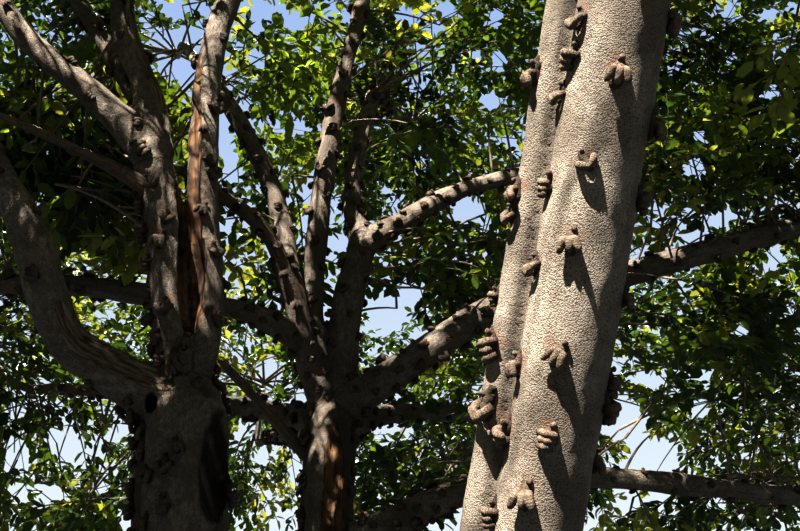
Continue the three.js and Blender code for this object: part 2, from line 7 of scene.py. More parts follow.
import bmesh
import bpy
import numpy as np
from bpy.props import FloatProperty, FloatVectorProperty, IntProperty, PointerProperty
from mathutils.bvhtree import BVHTree
from mathutils.kdtree import KDTree
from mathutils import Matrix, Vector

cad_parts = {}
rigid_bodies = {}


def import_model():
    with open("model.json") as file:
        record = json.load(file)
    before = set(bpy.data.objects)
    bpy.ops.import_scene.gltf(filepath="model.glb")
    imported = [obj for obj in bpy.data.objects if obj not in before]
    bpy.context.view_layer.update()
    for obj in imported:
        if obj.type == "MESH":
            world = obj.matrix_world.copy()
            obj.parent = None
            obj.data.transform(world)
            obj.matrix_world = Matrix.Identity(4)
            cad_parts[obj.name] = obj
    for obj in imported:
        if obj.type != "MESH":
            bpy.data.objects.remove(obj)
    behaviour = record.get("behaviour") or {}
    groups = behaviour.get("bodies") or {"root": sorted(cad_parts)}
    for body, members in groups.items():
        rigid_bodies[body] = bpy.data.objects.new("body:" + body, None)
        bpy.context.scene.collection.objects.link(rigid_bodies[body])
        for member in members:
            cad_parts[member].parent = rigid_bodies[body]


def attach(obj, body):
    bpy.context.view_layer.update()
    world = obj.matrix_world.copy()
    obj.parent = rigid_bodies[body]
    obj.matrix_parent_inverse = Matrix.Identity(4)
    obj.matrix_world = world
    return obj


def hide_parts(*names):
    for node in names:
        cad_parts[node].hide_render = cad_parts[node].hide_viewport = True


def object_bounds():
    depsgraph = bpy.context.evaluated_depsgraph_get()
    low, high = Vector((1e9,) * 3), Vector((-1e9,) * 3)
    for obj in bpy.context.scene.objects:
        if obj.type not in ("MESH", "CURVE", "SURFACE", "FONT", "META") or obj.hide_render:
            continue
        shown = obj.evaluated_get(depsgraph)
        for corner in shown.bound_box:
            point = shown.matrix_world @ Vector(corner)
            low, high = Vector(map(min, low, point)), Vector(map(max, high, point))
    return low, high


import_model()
FRAME_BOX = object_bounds()

bl_info = {
    "name": "Knobbly Fig Tree",
    "version": (1, 0, 0),
    "blender": (4, 5, 0),
    "location": "View3D > Sidebar > Fig Tree",
    "description": "Builds the bark, knobs, twigs and leaves of a knobbly fig tree",
    "category": "Add Mesh",
}

# The tables of limbs and masses are in millimetres and degrees, as in the frame.
# Headings: 0 is to the right, 90 to the back, 270 to the front.
MM = 0.001

# A leg is (heading, rise, length). A rib is a ridge along the stem: (heading, distance from the
# stem's line, share of its radius). A buttress is (heading, reach).
STEMS = [
    dict(name="left_stem", foot=(-420, -250), thick=182, thin=192,
         legs=[(221, 84, 1110), (216, 88, 1090), (203, 85, 660)],
         ribs=[(172, 92, 0.66), (8, 96, 0.64), (80, 90, 0.6)],
         buttresses=[(195, 700), (250, 640)]),
    dict(name="centre_stem", foot=(-60, 520), thick=172, thin=180,
         legs=[(84, 76, 1140), (91, 74, 1360), (95, 80, 870)],
         ribs=[(185, 82, 0.6), (330, 78, 0.6)],
         buttresses=[(60, 680), (120, 640)]),
    dict(name="right_stem", foot=(409, -170), thick=148, thin=160,
         legs=[(294, 62, 1130), (294, 62, 1210), (292, 64, 1370), (292, 63, 1460)],
         ribs=[(150, 214, 0.45)],
         buttresses=[(345, 660), (275, 640)]),
]

# A bough leaves the limb it is on at a number of that limb's legs.
BOUGH_COLUMNS = ("name", "on", "at", "thick", "thin", "legs")
BOUGHS = [
    ("bough_left_elbow", "left_stem", 2.77, 112, 48,
     [(211, 22, 370), (219, 29, 250), (238, 56, 430), (207, 57, 230), (193, 50, 310),
      (205, 27, 960)]),
    ("bough_left_front", "bough_left_elbow", 4.8, 58, 34,
     [(252, 28, 790), (256, 29, 1120)]),
    ("bough_left_middle", "left_stem", 2.9, 94, 96,
     [(250, 69, 420), (230, 77, 410), (199, 72, 380)]),
    ("bough_left_high", "bough_left_middle", 2.95, 84, 40,
     [(201, 41, 370), (193, 41, 600), (215, 58, 870)]),
    ("bough_left_upright", "bough_left_middle", 2.9, 92, 38,
     [(217, 81, 310), (198, 71, 630), (168, 86, 1400), (102, 87, 1100)]),
    ("bough_left_back", "bough_left_middle", 2.9, 68, 38,
     [(138, 69, 330), (170, 58, 910), (145, 49, 960)]),
    ("bough_left_inner", "left_stem", 2.9, 94, 36,
     [(318, 72, 400), (240, 81, 900), (359, 85, 910), (350, 65, 1450), (345, 68, 1080)]),
    ("bough_left_dead", "bough_left_middle", 2.3, 38, 18,
     [(221, 12, 340), (214, 10, 480)]),
    ("bough_right_front", "right_stem", 3.95, 112, 50,
     [(319, 31, 880), (323, 18, 790)]),
    ("bough_front", "right_stem", 3.95, 104, 44,
     [(259, 45, 1000), (255, 37, 910)]),
    ("bough_right_upright", "right_stem", 3.9, 108, 44,
     [(323, 67, 870), (330, 70, 850), (326, 74, 630)]),
    ("bough_right_side", "right_stem", 3.85, 100, 46,
     [(18, 29, 720), (14, 17, 860), (13, 8, 730)]),
    ("bough_right_inner", "bough_right_side", 1.8, 58, 34,
     [(63, 53, 940), (67, 55, 850)]),
    ("bough_front_inner", "bough_front", 1.4, 56, 34,
     [(171, 48, 950), (172, 52, 830)]),
    ("bough_centre_low_left", "centre_stem", 2.92, 88, 46,
     [(217, 71, 310), (231, 19, 420), (206, 11, 330), (212, -4, 970), (185, -2, 390),
      (172, 19, 880)]),
    ("bough_centre_left", "centre_stem", 2.86, 96, 48,
     [(215, 63, 350), (252, 51, 370), (207, 75, 850), (206, 59, 730), (121, 46, 1090)]),
    ("bough_centre_dead", "bough_centre_left", 2.1, 60, 34,
     [(237, 46, 500), (231, 11, 650)]),
    ("bough_centre_upright", "centre_stem", 2.86, 104, 42,
     [(189, 77, 280), (248, 69, 500), (294, 76, 1190), (330, 78, 1100), (87, 80, 1300)]),
    ("bough_centre_back", "centre_stem", 2.86, 108, 92,
     [(0, 75, 280), (278, 63, 440), (323, 73, 480)]),
    ("bough_centre_back_up", "bough_centre_back", 2.95, 76, 44,
     [(146, 75, 420), (24, 80, 850), (83, 31, 980)]),
    ("bough_centre_right", "bough_centre_back", 2.93, 82, 46,
     [(355, 30, 260), (21, 37, 580), (23, 29, 990), (29, 57, 830)]),
    ("bough_centre_low_right", "centre_stem", 2.86, 112, 84,
     [(345, 30, 540), (349, 30, 750), (18, 21, 990), (15, 21, 1660)]),
    ("bough_centre_peeled", "centre_stem", 1.91, 98, 52,
     [(345, 19, 480), (352, 21, 380), (11, 9, 820), (17, -1, 1510), (51, 18, 840)]),
    ("bough_broken", "centre_stem", 2.45, 46, 26,
     [(175, 22, 140), (227, 33, 440), (231, 29, 390)]),
    ("bough_back_left", "centre_stem", 2.75, 90, 46,
     [(133, 21, 710), (145, 14, 1260), (158, 11, 980)]),
    ("bough_back_middle", "centre_stem", 2.57, 86, 44,
     [(105, 21, 830), (109, 13, 1090), (107, 12, 740)]),
    ("bough_back_right", "centre_stem", 2.69, 86, 44,
     [(61, 23, 890), (57, 12, 1220), (60, 7, 810)]),
]
DEAD_LIMBS = ("bough_left_dead", "bough_centre_dead", "bough_broken")

FLARE = 0.95  # how much a foot widens at the ground
FLARE_HEIGHT = 260
BUTTRESS_RISE = 520
BUTTRESS_RADII = (95, 60)
MOUND = (560, 560, 330)  # half sizes of the wood that joins the feet
COLLAR = 0.3  # swelling where a bough leaves its parent
COLLAR_LENGTH = 220
DOME_SHARE = 0.1  # the last part of a stem, which rounds off under its fork
KNOB_ROOM = 46  # how far the knobs stand off a bough
ROD_LENGTH = 180  # the straight pieces of a limb that clearances are measured from
STEM_ROOM = 1.5  # how far out leaves keep from a stem's line, as a share of its radius
GOLDEN = 137.508  # turn between one knob or twig and the next
FULL_TURN = 6.283  # one turn, as the frame's rule for twigs rounds it
BLOCK = 4096  # points that are worked through at once

# Sizes in metres
FOOT_BELOW = 0.34  # how far a stem's tube goes on below the ground
RING_STEP = 0.05  # from one ring of a bark tube to the next
CREASE_WIDTH = 0.017  # half width of the groove between a rib and its stem
CUTTER_GRAIN = 0.009  # mesh size of what cuts the wounds
WOUND_EDGE = 0.008  # width of the edge between bark and bare wood
KNOB_GAP = 0.075  # least distance between clusters of knobs
KNOB_SINK = 0.004  # how deep a cluster sits in the bark
SCAR_REACH = 0.085  # how far reddish bark reaches round a full cluster
LOBE_LENGTH = 0.09  # what the rings of a lobe are counted over, and where its tip comes
LOBE_TIP = 0.095
# Painted shade: knobs are darkened up to this far out from the bark
FOLD_SHADE_HEIGHT = 0.036  # how far out from the bark the folds between lobes are dark

# The bark of each stem: (stem, mesh size and depth of the relief, as shares of the settings)
BARK_MESHES = [("left_stem", 1.1, 1.3), ("centre_stem", 1.34, 1.3), ("right_stem", 1.04, 0.8)]

# Knobs that are spread over the limbs of each stem: (stem, lowest height on it in metres,
# spacing on it, spacing on its boughs as a share of the setting)
KNOB_SPREADS = [
    ("left_stem", 1.2, 0.24, 0.75), ("centre_stem", 1.3, 0.24, 0.24), ("right_stem", 1.0, 0.75, 0.6),
]
KNOB_FORMS = 9  # differing clusters of each kind

# Hollows in the left stem: the tall open one low in front and a knot hole beside the elbow.
# (middle, half sizes)
HOLLOWS = [
    ((-370, -505, 2440), (68, 175, 228)),
    ((-672, -535, 2700), (25, 62, 44)),
]

# Rows of knob clusters that show on each limb: (bearing round it, heights)
KNOB_ROWS = {
    "right_stem": [
        (258, (2315, 2560, 3125)), (249, (2145, 2880)), (272, (3365, 3690, 4020)),
        (190, (2115, 2350, 2555, 2865, 3100, 3395, 3800)), (204, (3490, 3590)),
        (166, (2440, 2655, 3060, 3145, 3500)), (345, (2260, 2420, 2500, 2760, 3050, 3280, 3600)),
    ],
    "left_stem": [
        (200, (1500, 1760, 2000)), (232, (1620, 1880, 2060)), (262, (1540, 1820, 2100)),
        (335, (1700, 2050)), (188, (2180, 2265, 2360, 2480, 2560, 2640, 2715)),
        (210, (2505, 2585, 2665)), (236, (2195, 2390)), (262, (2270, 2430, 2800)), (279, (2495,)),
        (3, (2330, 2410, 2500, 2575, 2720, 2830)),
    ],
    "bough_left_elbow": [(221, (2710,)), (178, (2800,)), (289, (2765,))],
    "bough_left_middle": [
        (273, (2857, 2905)), (237, (2900, 2990)), (205, (2960, 3080, 3200, 3330, 3470, 3620)),
        (262, (3120, 3420, 3700, 3860)),
    ],
    "bough_left_inner": [(320, (3100, 3420, 3800, 4150)), (275, (3260, 3600, 4000))],
    "centre_stem": [
        (195, (1650, 1900, 2150, 2400, 2520, 2640, 2760, 2890, 3010, 3130)),
        (230, (1800, 2080, 2460, 2700, 2950, 3150)),
        (335, (1750, 2100, 2450, 2620, 2800, 2980, 3140)),
    ],
}

# Places where the bark is off: a stretch of a limb's legs on the side it faces, cut in by a
# round tool. kind is "bare" for grey weathered wood, "rot" for orange-brown crumbling wood.
WOUNDS = [
    dict(limb="bough_left_elbow", kind="bare", legs=(0.3, 2.3), facing=(0.25, -0.85, 0.42),
         width=118, depth=42),
    dict(limb="bough_left_inner", kind="rot", legs=(0.2, 2.5), facing=(-0.72, -0.69, 0.0),
         width=66, depth=52),
    dict(limb="bough_left_upright", kind="bare", legs=(0.35, 2.6), facing=(0.85, -0.5, 0.0),
         width=64, depth=22),
    dict(limb="centre_stem", kind="rot", legs=(1.5, 2.75), facing=(0.3, -0.95, 0.0),
         width=84, depth=38),
    dict(limb="bough_centre_peeled", kind="bare", legs=(1.0, 3.3), facing=(-0.1, -0.5, 0.85),
         width=60, depth=18),
]

# Boughs that leaves may hide from the camera
HIDDEN_BEHIND_LEAVES = (
    "bough_back_left", "bough_back_middle", "bough_back_right", "bough_right_inner",
    "bough_front_inner", "bough_centre_back_up", "bough_left_back",
)

# Half sizes of the masses in each layer of the crown, and of the distance that shares out room
LOW = (1900, 1900, 1400)
MIDDLE = (1850, 1850, 1500)
TOP = (1800, 1800, 1500)
SHARE = np.array((1850, 1850, 1450)) * MM

# (name, bough, heading, distance out, height, half sizes, side of the crown)
MASSES = [
    ("mass_left_low", "bough_left_elbow", 208, 4150, 5150, LOW, "left"),
    ("mass_left_front", "bough_left_front", 243, 4650, 6000, LOW, "left"),
    ("mass_left_high", "bough_left_high", 214, 3250, 7400, MIDDLE, "left"),
    ("mass_left_back", "bough_left_back", 167, 3050, 7200, MIDDLE, "left"),
    ("mass_top_left", "bough_left_upright", 205, 1250, 9250, TOP, "top"),
    ("mass_top_right", "bough_left_inner", 320, 1350, 9200, TOP, "top"),
    ("mass_right_front", "bough_right_front", 311, 5100, 5800, LOW, "right"),
    ("mass_front", "bough_front", 279, 4850, 6500, LOW, "right"),
    ("mass_right_high", "bough_right_upright", 307, 3650, 8000, MIDDLE, "right"),
    ("mass_right_low", "bough_right_side", 341, 4750, 5400, LOW, "right"),
    ("mass_right_inner", "bough_right_inner", 352, 3200, 7500, MIDDLE, "right"),
    ("mass_front_inner", "bough_front_inner", 263, 3050, 8000, MIDDLE, "top"),
    ("mass_far_left", "bough_centre_low_left", 171, 4550, 4750, LOW, "left"),
    ("mass_centre_left", "bough_centre_left", 122, 3350, 7200, MIDDLE, "back"),
    ("mass_top_back", "bough_centre_upright", 85, 1650, 9250, TOP, "top"),
    ("mass_back_high", "bough_centre_back_up", 82, 3750, 7000, MIDDLE, "back"),
    ("mass_centre_right", "bough_centre_right", 41, 3550, 7200, MIDDLE, "back"),
    ("mass_far_right", "bough_centre_low_right", 16, 5000, 5550, LOW, "right"),
    ("mass_right_back", "bough_centre_peeled", 40, 5500, 4050, LOW, "back"),
    ("mass_back_left", "bough_back_left", 137, 4800, 4450, LOW, "back"),
    ("mass_back", "bough_back_middle", 102, 5150, 4500, LOW, "back"),
    ("mass_back_right", "bough_back_right", 68, 5100, 4500, LOW, "back"),
]
SIDES = ("left", "right", "top", "back")

# How the sprays of a mass are set out: the frame's own rule, and the finer one between them.
# Lengths, widths, radii and the spill past the mass's own space are in metres.
FRAME_RULE = dict(twigs=4, sprays=3, step=0.25, length=1.25, width=0.8, reach=0.46, vary=0.0,
                  retries=9, shift=0, radius=0.024, spill=0.0)
FILL_RULE = dict(twigs=19, sprays=4, step=0.22, length=0.92, width=0.7, reach=0.7, vary=0.55,
                 retries=4, shift=400, radius=0.014, spill=0.16)
SPRAY_FITS = (1, 0.86, 0.74, 0.62)
SPRAY_TILT = 1.0
SPACE_MARGIN = 25 * MM
LIMB_MARGIN = 60 * MM
CROWN_LIMB_TIP = 16 * MM
SPRAY_PAST_FRAME = 60 * MM  # how far past the frame's box a spray's points may be
SHOOT_PAST_FRAME = 240 * MM
LEAF_PAST_FRAME = 260 * MM
MASS_BEND = 0.35  # where a mass's limb turns towards its middle, as a share of the way
MASS_PAST = 0.15  # how far it goes on past the middle
FIRST_TWIG = 0.42  # where the twigs start on that limb
TWIG_STRETCH = 0.56  # the share of it that they grow on
TWIG_RETREAT = 0.12  # how much shorter each next try of a twig is
TWIG_SAMPLES = (0.35, 0.6, 0.8, 1)  # where along a twig its room is tried
SHORTEST_TWIG = 0.2
NEAR_ROOT = 5  # the first points of a spray, which may be near the limb that it grows from

# Radii of the thin wood in metres
HANGING_TWIG = 0.011
MAIN_SHOOT = np.linspace(0.0085, 0.003, 5)
SIDE_SHOOT = (0.0045, 0.0034, 0.002)

# The main light is far off. It shines through gaps in the leaves on parts of some limbs:
# (limb, legs, half width of the gap, share of the way that is lit)
SUN_PLACE = np.array((-9.0, -21.8, 30.9))
SUNLIT = [
    ("right_stem", (1.75, 4.0), 0.27, 1.0),
    ("bough_left_elbow", (0.9, 2.6), 0.05, 0.12),
    ("left_stem", (1.8, 2.9), 0.05, 0.12),
    ("centre_stem", (2.3, 2.9), 0.05, 0.2),
    ("bough_left_middle", (0.2, 2.9), 0.06, 0.3),
    ("bough_left_inner", (0.6, 2.6), 0.1, 0.5),
    ("bough_left_high", (0.2, 2.0), 0.07, 0.35),
    ("bough_centre_upright", (0.4, 3.2), 0.06, 0.35),
    ("bough_centre_left", (0.4, 3.0), 0.06, 0.3),
    ("bough_centre_right", (0.2, 2.6), 0.08, 0.4),
    ("bough_centre_low_right", (0.9, 3.4), 0.07, 0.4),
    ("bough_right_side", (1.2, 2.2), 0.07, 0.5),
]

# Stretches of limb that the crown keeps in the shade: (limb, legs, sprays over it)
SHADED = [
    ("left_stem", (1.7, 2.95), 34),
    ("bough_left_elbow", (0.2, 3.6), 36),
    ("bough_left_middle", (0.2, 2.8), 18),
    ("bough_left_inner", (0.2, 2.4), 10),
    ("centre_stem", (1.9, 2.95), 9),
    ("bough_centre_back", (0.3, 2.8), 10),
    ("bough_centre_left", (0.3, 3.0), 8),
]

# Places in the picture, in its pixels. Windows where more sprays hang behind the limbs:
# (left, right, top, bottom, sprays). Openings where the sky shows: (across, down, half sizes).
FOCAL_PIXELS = 900
PICTURE_MIDDLE = np.array((400, 265.5))
LEAFY_WINDOWS = [
    (225, 335, 0, 75, 28), (200, 285, 185, 255, 16), (290, 352, 180, 300, 26), (372, 460, 228, 288, 18),
    (390, 450, 425, 500, 16), (350, 400, 430, 531, 8), (640, 800, 145, 235, 20), (640, 720, 290, 340, 10),
    (150, 200, 92, 175, 18), (78, 125, 235, 300, 8), (205, 280, 110, 175, 12), (470, 530, 0, 70, 14),
    (380, 450, 70, 150, 10), (80, 125, 470, 531, 8), (600, 740, 478, 531, 18), (0, 110, 60, 190, 22),
    (70, 170, 140, 300, 38), (230, 300, 170, 290, 22), (440, 520, 220, 320, 12), (360, 440, 340, 420, 6),
    (0, 110, 400, 531, 22), (345, 440, 430, 531, 34), (390, 520, 225, 310, 22), (340, 440, 235, 300, 14),
    (630, 800, 120, 190, 24), (650, 790, 180, 300, 32), (700, 800, 0, 120, 14), (630, 790, 470, 531, 14),
    (630, 700, 390, 470, 10), (740, 800, 300, 400, 14),
]
SKY_OPENINGS = [
    ((180, 54), (18, 28)), ((262, 12), (14, 10)), ((212, 56), (9, 20)), ((222, 130), (7, 26)),
    ((296, 22), (11, 12)), ((500, 60), (8, 10)), ((496, 18), (12, 9)), ((420, 50), (7, 8)),
    ((406, 16), (12, 9)), ((450, 12), (9, 7)), ((386, 315), (18, 20)), ((412, 295), (12, 14)),
    ((425, 345), (12, 9)), ((468, 212), (20, 12)), ((310, 190), (7, 14)), ((300, 128), (7, 7)),
    ((492, 100), (10, 9)), ((648, 256), (8, 9)), ((716, 220), (13, 10)), ((776, 256), (9, 9)),
    ((624, 420), (19, 24)), ((660, 458), (18, 18)), ((652, 380), (18, 8)), ((706, 374), (9, 6)),
    ((612, 370), (9, 9)), ((700, 408), (10, 10)), ((700, 138), (9, 9)), ((256, 58), (8, 9)),
    ((694, 168), (13, 12)), ((730, 60), (6, 7)), ((774, 92), (7, 7)), ((728, 10), (8, 7)),
    ((768, 14), (8, 6)), ((740, 330), (9, 8)), ((272, 372), (8, 16)), ((300, 415), (14, 22)),
    ((296, 470), (8, 16)), ((262, 456), (7, 10)), ((64, 444), (18, 16)), ((16, 452), (14, 16)),
    ((100, 440), (6, 9)), ((14, 410), (9, 7)), ((18, 490), (10, 8)), ((100, 486), (9, 9)),
    ((660, 496), (12, 8)), ((54, 492), (10, 8)), ((666, 206), (8, 7)),
]

# The leaf colours: (name, colour, share of the sprays)
LEAF_TINTS = [
    ("deep", (0.018, 0.036, 0.009), 0.18),
    ("shade", (0.03, 0.06, 0.012), 0.2),
    ("green", (0.055, 0.1, 0.016), 0.2),
    ("fresh", (0.105, 0.165, 0.024), 0.2),
    ("olive", (0.15, 0.185, 0.035), 0.14),
    ("yellow", (0.22, 0.25, 0.055), 0.08),
]

# The camera's view in slopes from its middle, and the front of the stems in y
VIEW_HALF = (0.47, 0.32)
CLEAR_UP_TO = -0.35

# Colours that the finishes share or that stay as they are. A pair is a dark and a pale end.
BARK_STREAKS = (0.07, 0.052, 0.038)
BARK_GRAIN = (0.09, 0.068, 0.048)
# painted shade in the gaps between the ridges of rugged bark
RIDGE_GAP_SHADE = (0.075, 0.056, 0.042)
BARE_WOOD = ((0.045, 0.032, 0.023), (0.22, 0.168, 0.12))
ROTTEN_WOOD = ((0.022, 0.011, 0.006), (0.27, 0.15, 0.075))
ROT_BLOTCHES = (0.03, 0.017, 0.011)
ROT_SPECKS = (0.012, 0.008, 0.005)
# near black inside the hollows: the dark wood there with painted shade over it
HOLLOW_INSIDE_SHADE = ((0.002, 0.0015, 0.001), (0.014, 0.009, 0.006))
DEAD_WOOD = ((0.04, 0.026, 0.018), (0.2, 0.14, 0.095))
DEAD_FLAKES = (0.1, 0.08, 0.062)
KNOB_SPECKS = (0.05, 0.035, 0.025)
TWIG_BARK = ((0.085, 0.065, 0.048), (0.24, 0.19, 0.14))
TWIG_MARKS = (0.36, 0.3, 0.23)
LEAF_GLOW = (2.6, 2.3, 1.2)  # how much brighter a leaf is in light that comes through it
SUN_COLOUR = (1.0, 0.96, 0.9)
OVERHEAD_COLOUR = (1.0, 0.98, 0.94)

# Relief of the finishes in metres
BARK_RELIEF = 0.0027
DEAD_WOOD_RELIEF = 0.008
KNOB_RELIEF = 0.0055
TWIG_RELIEF = 0.003
LEAF_RELIEF = 0.002
RING_GAP = 0.0085  # from one ring round a knob's lobe to the next
GRIT_BEND = 0.0025  # how far the rows of grit wander
GRAIN_SCALE = 190.0  # the finest grain of bark and knobs, per metre
WOOD_GLOSS = 0.25

# The middles of the crown and of what the camera sees, and half the floor's side, in metres
CROWN_MIDDLE = np.array((0.0, 0.0, 5.6))
SHOWN_MIDDLE = np.array((0.2, -0.6, 4.4))
FLOOR_HALF = 60

UP = np.array((0.0, 0.0, 1.0))


def rnd(seed, k):
    """A repeatable value from 0 to 1."""
    s = math.sin(seed * 12.9898 + k * 78.233) * 43758.5453
    return s - math.floor(s)


def unit(vectors):
    vectors = np.asarray(vectors, float)
    return vectors / np.maximum(np.linalg.norm(vectors, axis=-1, keepdims=True), 1e-9)


def direction(heading, rise=0):
    h, r = math.radians(heading), math.radians(rise)
    return np.array((math.cos(r) * math.cos(h), math.cos(r) * math.sin(h), math.sin(r)))


class Path:
    """A smooth line through points."""

    def __init__(self, points):
        points = np.asarray(points, float)
        before = 2 * points[0] - points[1]
        after = 2 * points[-1] - points[-2]
        self.points = points
        self.padded = np.vstack([before, points, after])
        self.legs = len(points) - 1

    def at(self, share):
        """Points at shares of the line from 0 to 1."""
        place = np.atleast_1d(np.clip(share, 0, 1)) * self.legs
        leg = np.minimum(place.astype(int), self.legs - 1)
        t = (place - leg)[:, None]
        a, b, c, d = (self.padded[leg + i] for i in range(4))
        leaving = (c - a) / 2
        arriving = (d - b) / 2
        rise = t * t * (3 - 2 * t)
        return (1 - rise) * b + rise * c + t * (1 - t) * ((1 - t) * leaving - t * arriving)

    def point(self, share):
        return self.at(share)[0]

    def tangent(self, share):
        low, high = max(share - 1e-4, 0), min(share + 1e-4, 1)
        return unit(self.point(high) - self.point(low))


class Limb:
    """A stem or bough: its line, its radii and the stem that it belongs to."""

    def __init__(self, row, start, seed, stem=None):
        points = [start]
        for heading, rise, length in row["legs"]:
            points.append(points[-1] + direction(heading, rise) * length * MM)
        self.row = row
        self.name = row["name"]
        self.seed = seed
        self.is_stem = stem is None
        self.stem = stem or self.name
        self.dead = self.name in DEAD_LIMBS
        self.thick = row["thick"] * MM
        self.thin = row["thin"] * MM
        self.legs = len(row["legs"])
        self.length = sum(leg[2] for leg in row["legs"]) * MM
        self.path = Path(points)

    def radius(self, share):
        share = np.clip(share, 0, 1)
        wide = self.thick + (self.thin - self.thick) * share
        along = share * self.length
        if not self.is_stem:
            return wide * (1 + COLLAR * np.exp(-along / (COLLAR_LENGTH * MM)))
        flare = 1 + FLARE * np.exp(-along / (FLARE_HEIGHT * MM))
        dome = np.maximum(0, (share - (1 - DOME_SHARE)) / DOME_SHARE)
        return wide * flare * np.sqrt(np.maximum(0.12, 1 - dome * dome))


def lay_out_limbs():
    limbs = {}
    for row in STEMS:
        start = np.array((*row["foot"], 0)) * MM
        limbs[row["name"]] = Limb(row, start, len(limbs) + 1)
    for bough in BOUGHS:
        row = dict(zip(BOUGH_COLUMNS, bough))
        parent = limbs[row["on"]]
        start = parent.path.point(row["at"] / parent.legs)
        limbs[row["name"]] = Limb(row, start, len(limbs) + 1, parent.stem)
    return limbs


LIMBS = lay_out_limbs()


def living_limbs(stem):
    """A stem and the boughs that grow from it, without the dead ones."""
    return [limb for limb in LIMBS.values() if limb.stem == stem and not limb.dead]


def limb_rods():
    """The straight pieces that clearances to the limbs are measured from: ends and radii."""
    starts, ends, radii = [], [], []
    for limb in LIMBS.values():
        count = math.ceil(limb.length / (ROD_LENGTH * MM))
        shares = np.arange(count + 1) / count
        points = limb.path.at(shares)
        around = limb.radius(shares[:-1])
        around = around * STEM_ROOM if limb.is_stem else around + KNOB_ROOM * MM
        starts.append(points[:-1])
        ends.append(points[1:])
        radii.append(around)
    return np.vstack(starts), np.vstack(ends), np.concatenate(radii)


ROD_STARTS, ROD_ENDS, ROD_RADII = limb_rods()


def off_limbs(points, margin):
    """For each point, whether it keeps clear of every limb."""
    along = ROD_ENDS - ROD_STARTS
    length = (along**2).sum(1)
    clear = np.empty(len(points), bool)
    for i in range(0, len(points), BLOCK):
        some = points[i:i + BLOCK, None] - ROD_STARTS
        share = np.clip((some * along).sum(-1) / length, 0, 1)
        gap = np.linalg.norm(some - share[..., None] * along, axis=-1)
        clear[i:i + BLOCK] = (gap >= ROD_RADII + margin).all(1)
    return clear


def within_frame(points, past):
    """For each point, whether it is in the frame's box or no further past it than this."""
    low, high = (np.array(corner) for corner in FRAME_BOX)
    return ((points > low - past) & (points < high + past)).all(1)


class Mass:
    """A mass of leaves: its space, and the limb that grows into it from its bough."""

    def __init__(self, row, seed):
        name, bough, heading, out, up, half, side = row
        self.name = name
        self.seed = seed
        self.side = side
        self.bough = LIMBS[bough]
        self.half = np.array(half) * MM
        self.centre = direction(heading) * out * MM + UP * up * MM
        tip = self.bough.path.point(1)
        along = self.bough.path.tangent(1)
        reach = np.linalg.norm(self.centre - tip)
        bend = tip + along * reach * MASS_BEND
        past = self.centre + (self.centre - bend) * MASS_PAST
        self.path = Path([tip, bend, self.centre, past])

    def holds(self, points, spill):
        """For each point, whether it is in this mass's own space, or past it by the spill."""
        inside = (((points - self.centre) / (self.half + spill)) ** 2).sum(1) <= 1
        own = (((points - self.centre) / SHARE) ** 2).sum(1)
        for other in CROWN:
            if other is self:
                continue
            apart = np.linalg.norm((other.centre - self.centre) / SHARE)
            theirs = (((points - other.centre) / SHARE) ** 2).sum(1)
            inside &= (theirs - own) / (2 * apart) * SHARE[2] >= SPACE_MARGIN - spill
        return inside & within_frame(points, SPRAY_PAST_FRAME)

    def free(self, points, spill):
        """Whether every point is in this mass's own space and clear of the limbs."""
        return bool(self.holds(points, spill).all() and off_limbs(points, LIMB_MARGIN).all())


CROWN = [Mass(row, i + 1) for i, row in enumerate(MASSES)]

# Growth of the crown


def spiral_direction(k, count, turn):
    z = 1 - 2 * (k + 0.5) / count
    around = math.radians(GOLDEN * k) + turn
    level = math.sqrt(1 - z * z)
    return np.array((level * math.cos(around), level * math.sin(around), z))


def spray_points(start, along, across, length, width):
    """Points spread over a spray, from near its root to its tip."""
    points = []
    for share, wide in ((0.25, 0.5), (0.5, 1), (0.75, 0.5), (1, 0)):
        for side in (-1, -0.5, 0, 0.5, 1) if wide else (0,):
            points.append(start + along * length * share + across * side * wide * width / 2)
    return np.array(points)


def spray_shape(start, along, across, length, width):
    """A spray of leaves: where it starts, the ways it runs and spreads, and its size."""
    return dict(start=start, along=along, across=across, length=length, width=width)


def twig_end(mass, rule, outward, root, seed):
    """How far out a twig reaches, or None where it has no room."""
    full = rule["reach"] * (1 - rule["vary"] * rnd(seed, 9))
    for attempt in range(rule["retries"]):
        aim = mass.centre + outward * mass.half * full * (1 - TWIG_RETREAT * attempt)
        samples = root + (aim - root) * np.array(TWIG_SAMPLES)[:, None]
        if in_a_sky_opening(samples).any() or np.linalg.norm(aim - root) <= SHORTEST_TWIG:
            continue
        if mass.free(samples, rule["spill"]):
            return aim
    return None


def best_spray(mass, rule, outward, root, end, seed, j, taken):
    """The roomiest of several tries at a twig's spray."""
    first = np.cross(outward, UP)
    first = unit(first) if np.linalg.norm(first) >= 0.2 else np.array((1.0, 0.0, 0.0))
    second = unit(np.cross(outward, first))
    start = root + (end - root) * (1 - rule["step"] * j)
    best = None
    for attempt in range(rule["retries"]):
        n = seed * 17 + j * 9 + attempt
        turn = FULL_TURN * (j + rnd(n, 1) - 0.5) / rule["sprays"] + FULL_TURN * rnd(seed, 2)
        tilt = SPRAY_TILT * (1.2 - 0.8 * rnd(n, 5))
        along = unit(outward + tilt * (first * math.cos(turn) + second * math.sin(turn)))
        lean = np.array((rnd(n, 2) - 0.5, rnd(n, 3) - 0.5, 0.25 + 0.5 * rnd(n, 4)))
        across = unit(np.cross(lean, along))
        for fit in SPRAY_FITS:
            spray = spray_shape(start, along, across, rule["length"] * fit, rule["width"] * fit)
            points = spray_points(**spray)
            if not mass.free(points, rule["spill"]):
                continue
            outer = points[NEAR_ROOT:]
            room = rule["width"]
            if len(taken):
                gaps = np.linalg.norm(outer[:, None] - np.vstack(taken), axis=-1)
                room = min(room, gaps.min())
            if best is None or room * fit > best["room"]:
                best = dict(spray, outer=outer, room=room * fit)
            break
    return best


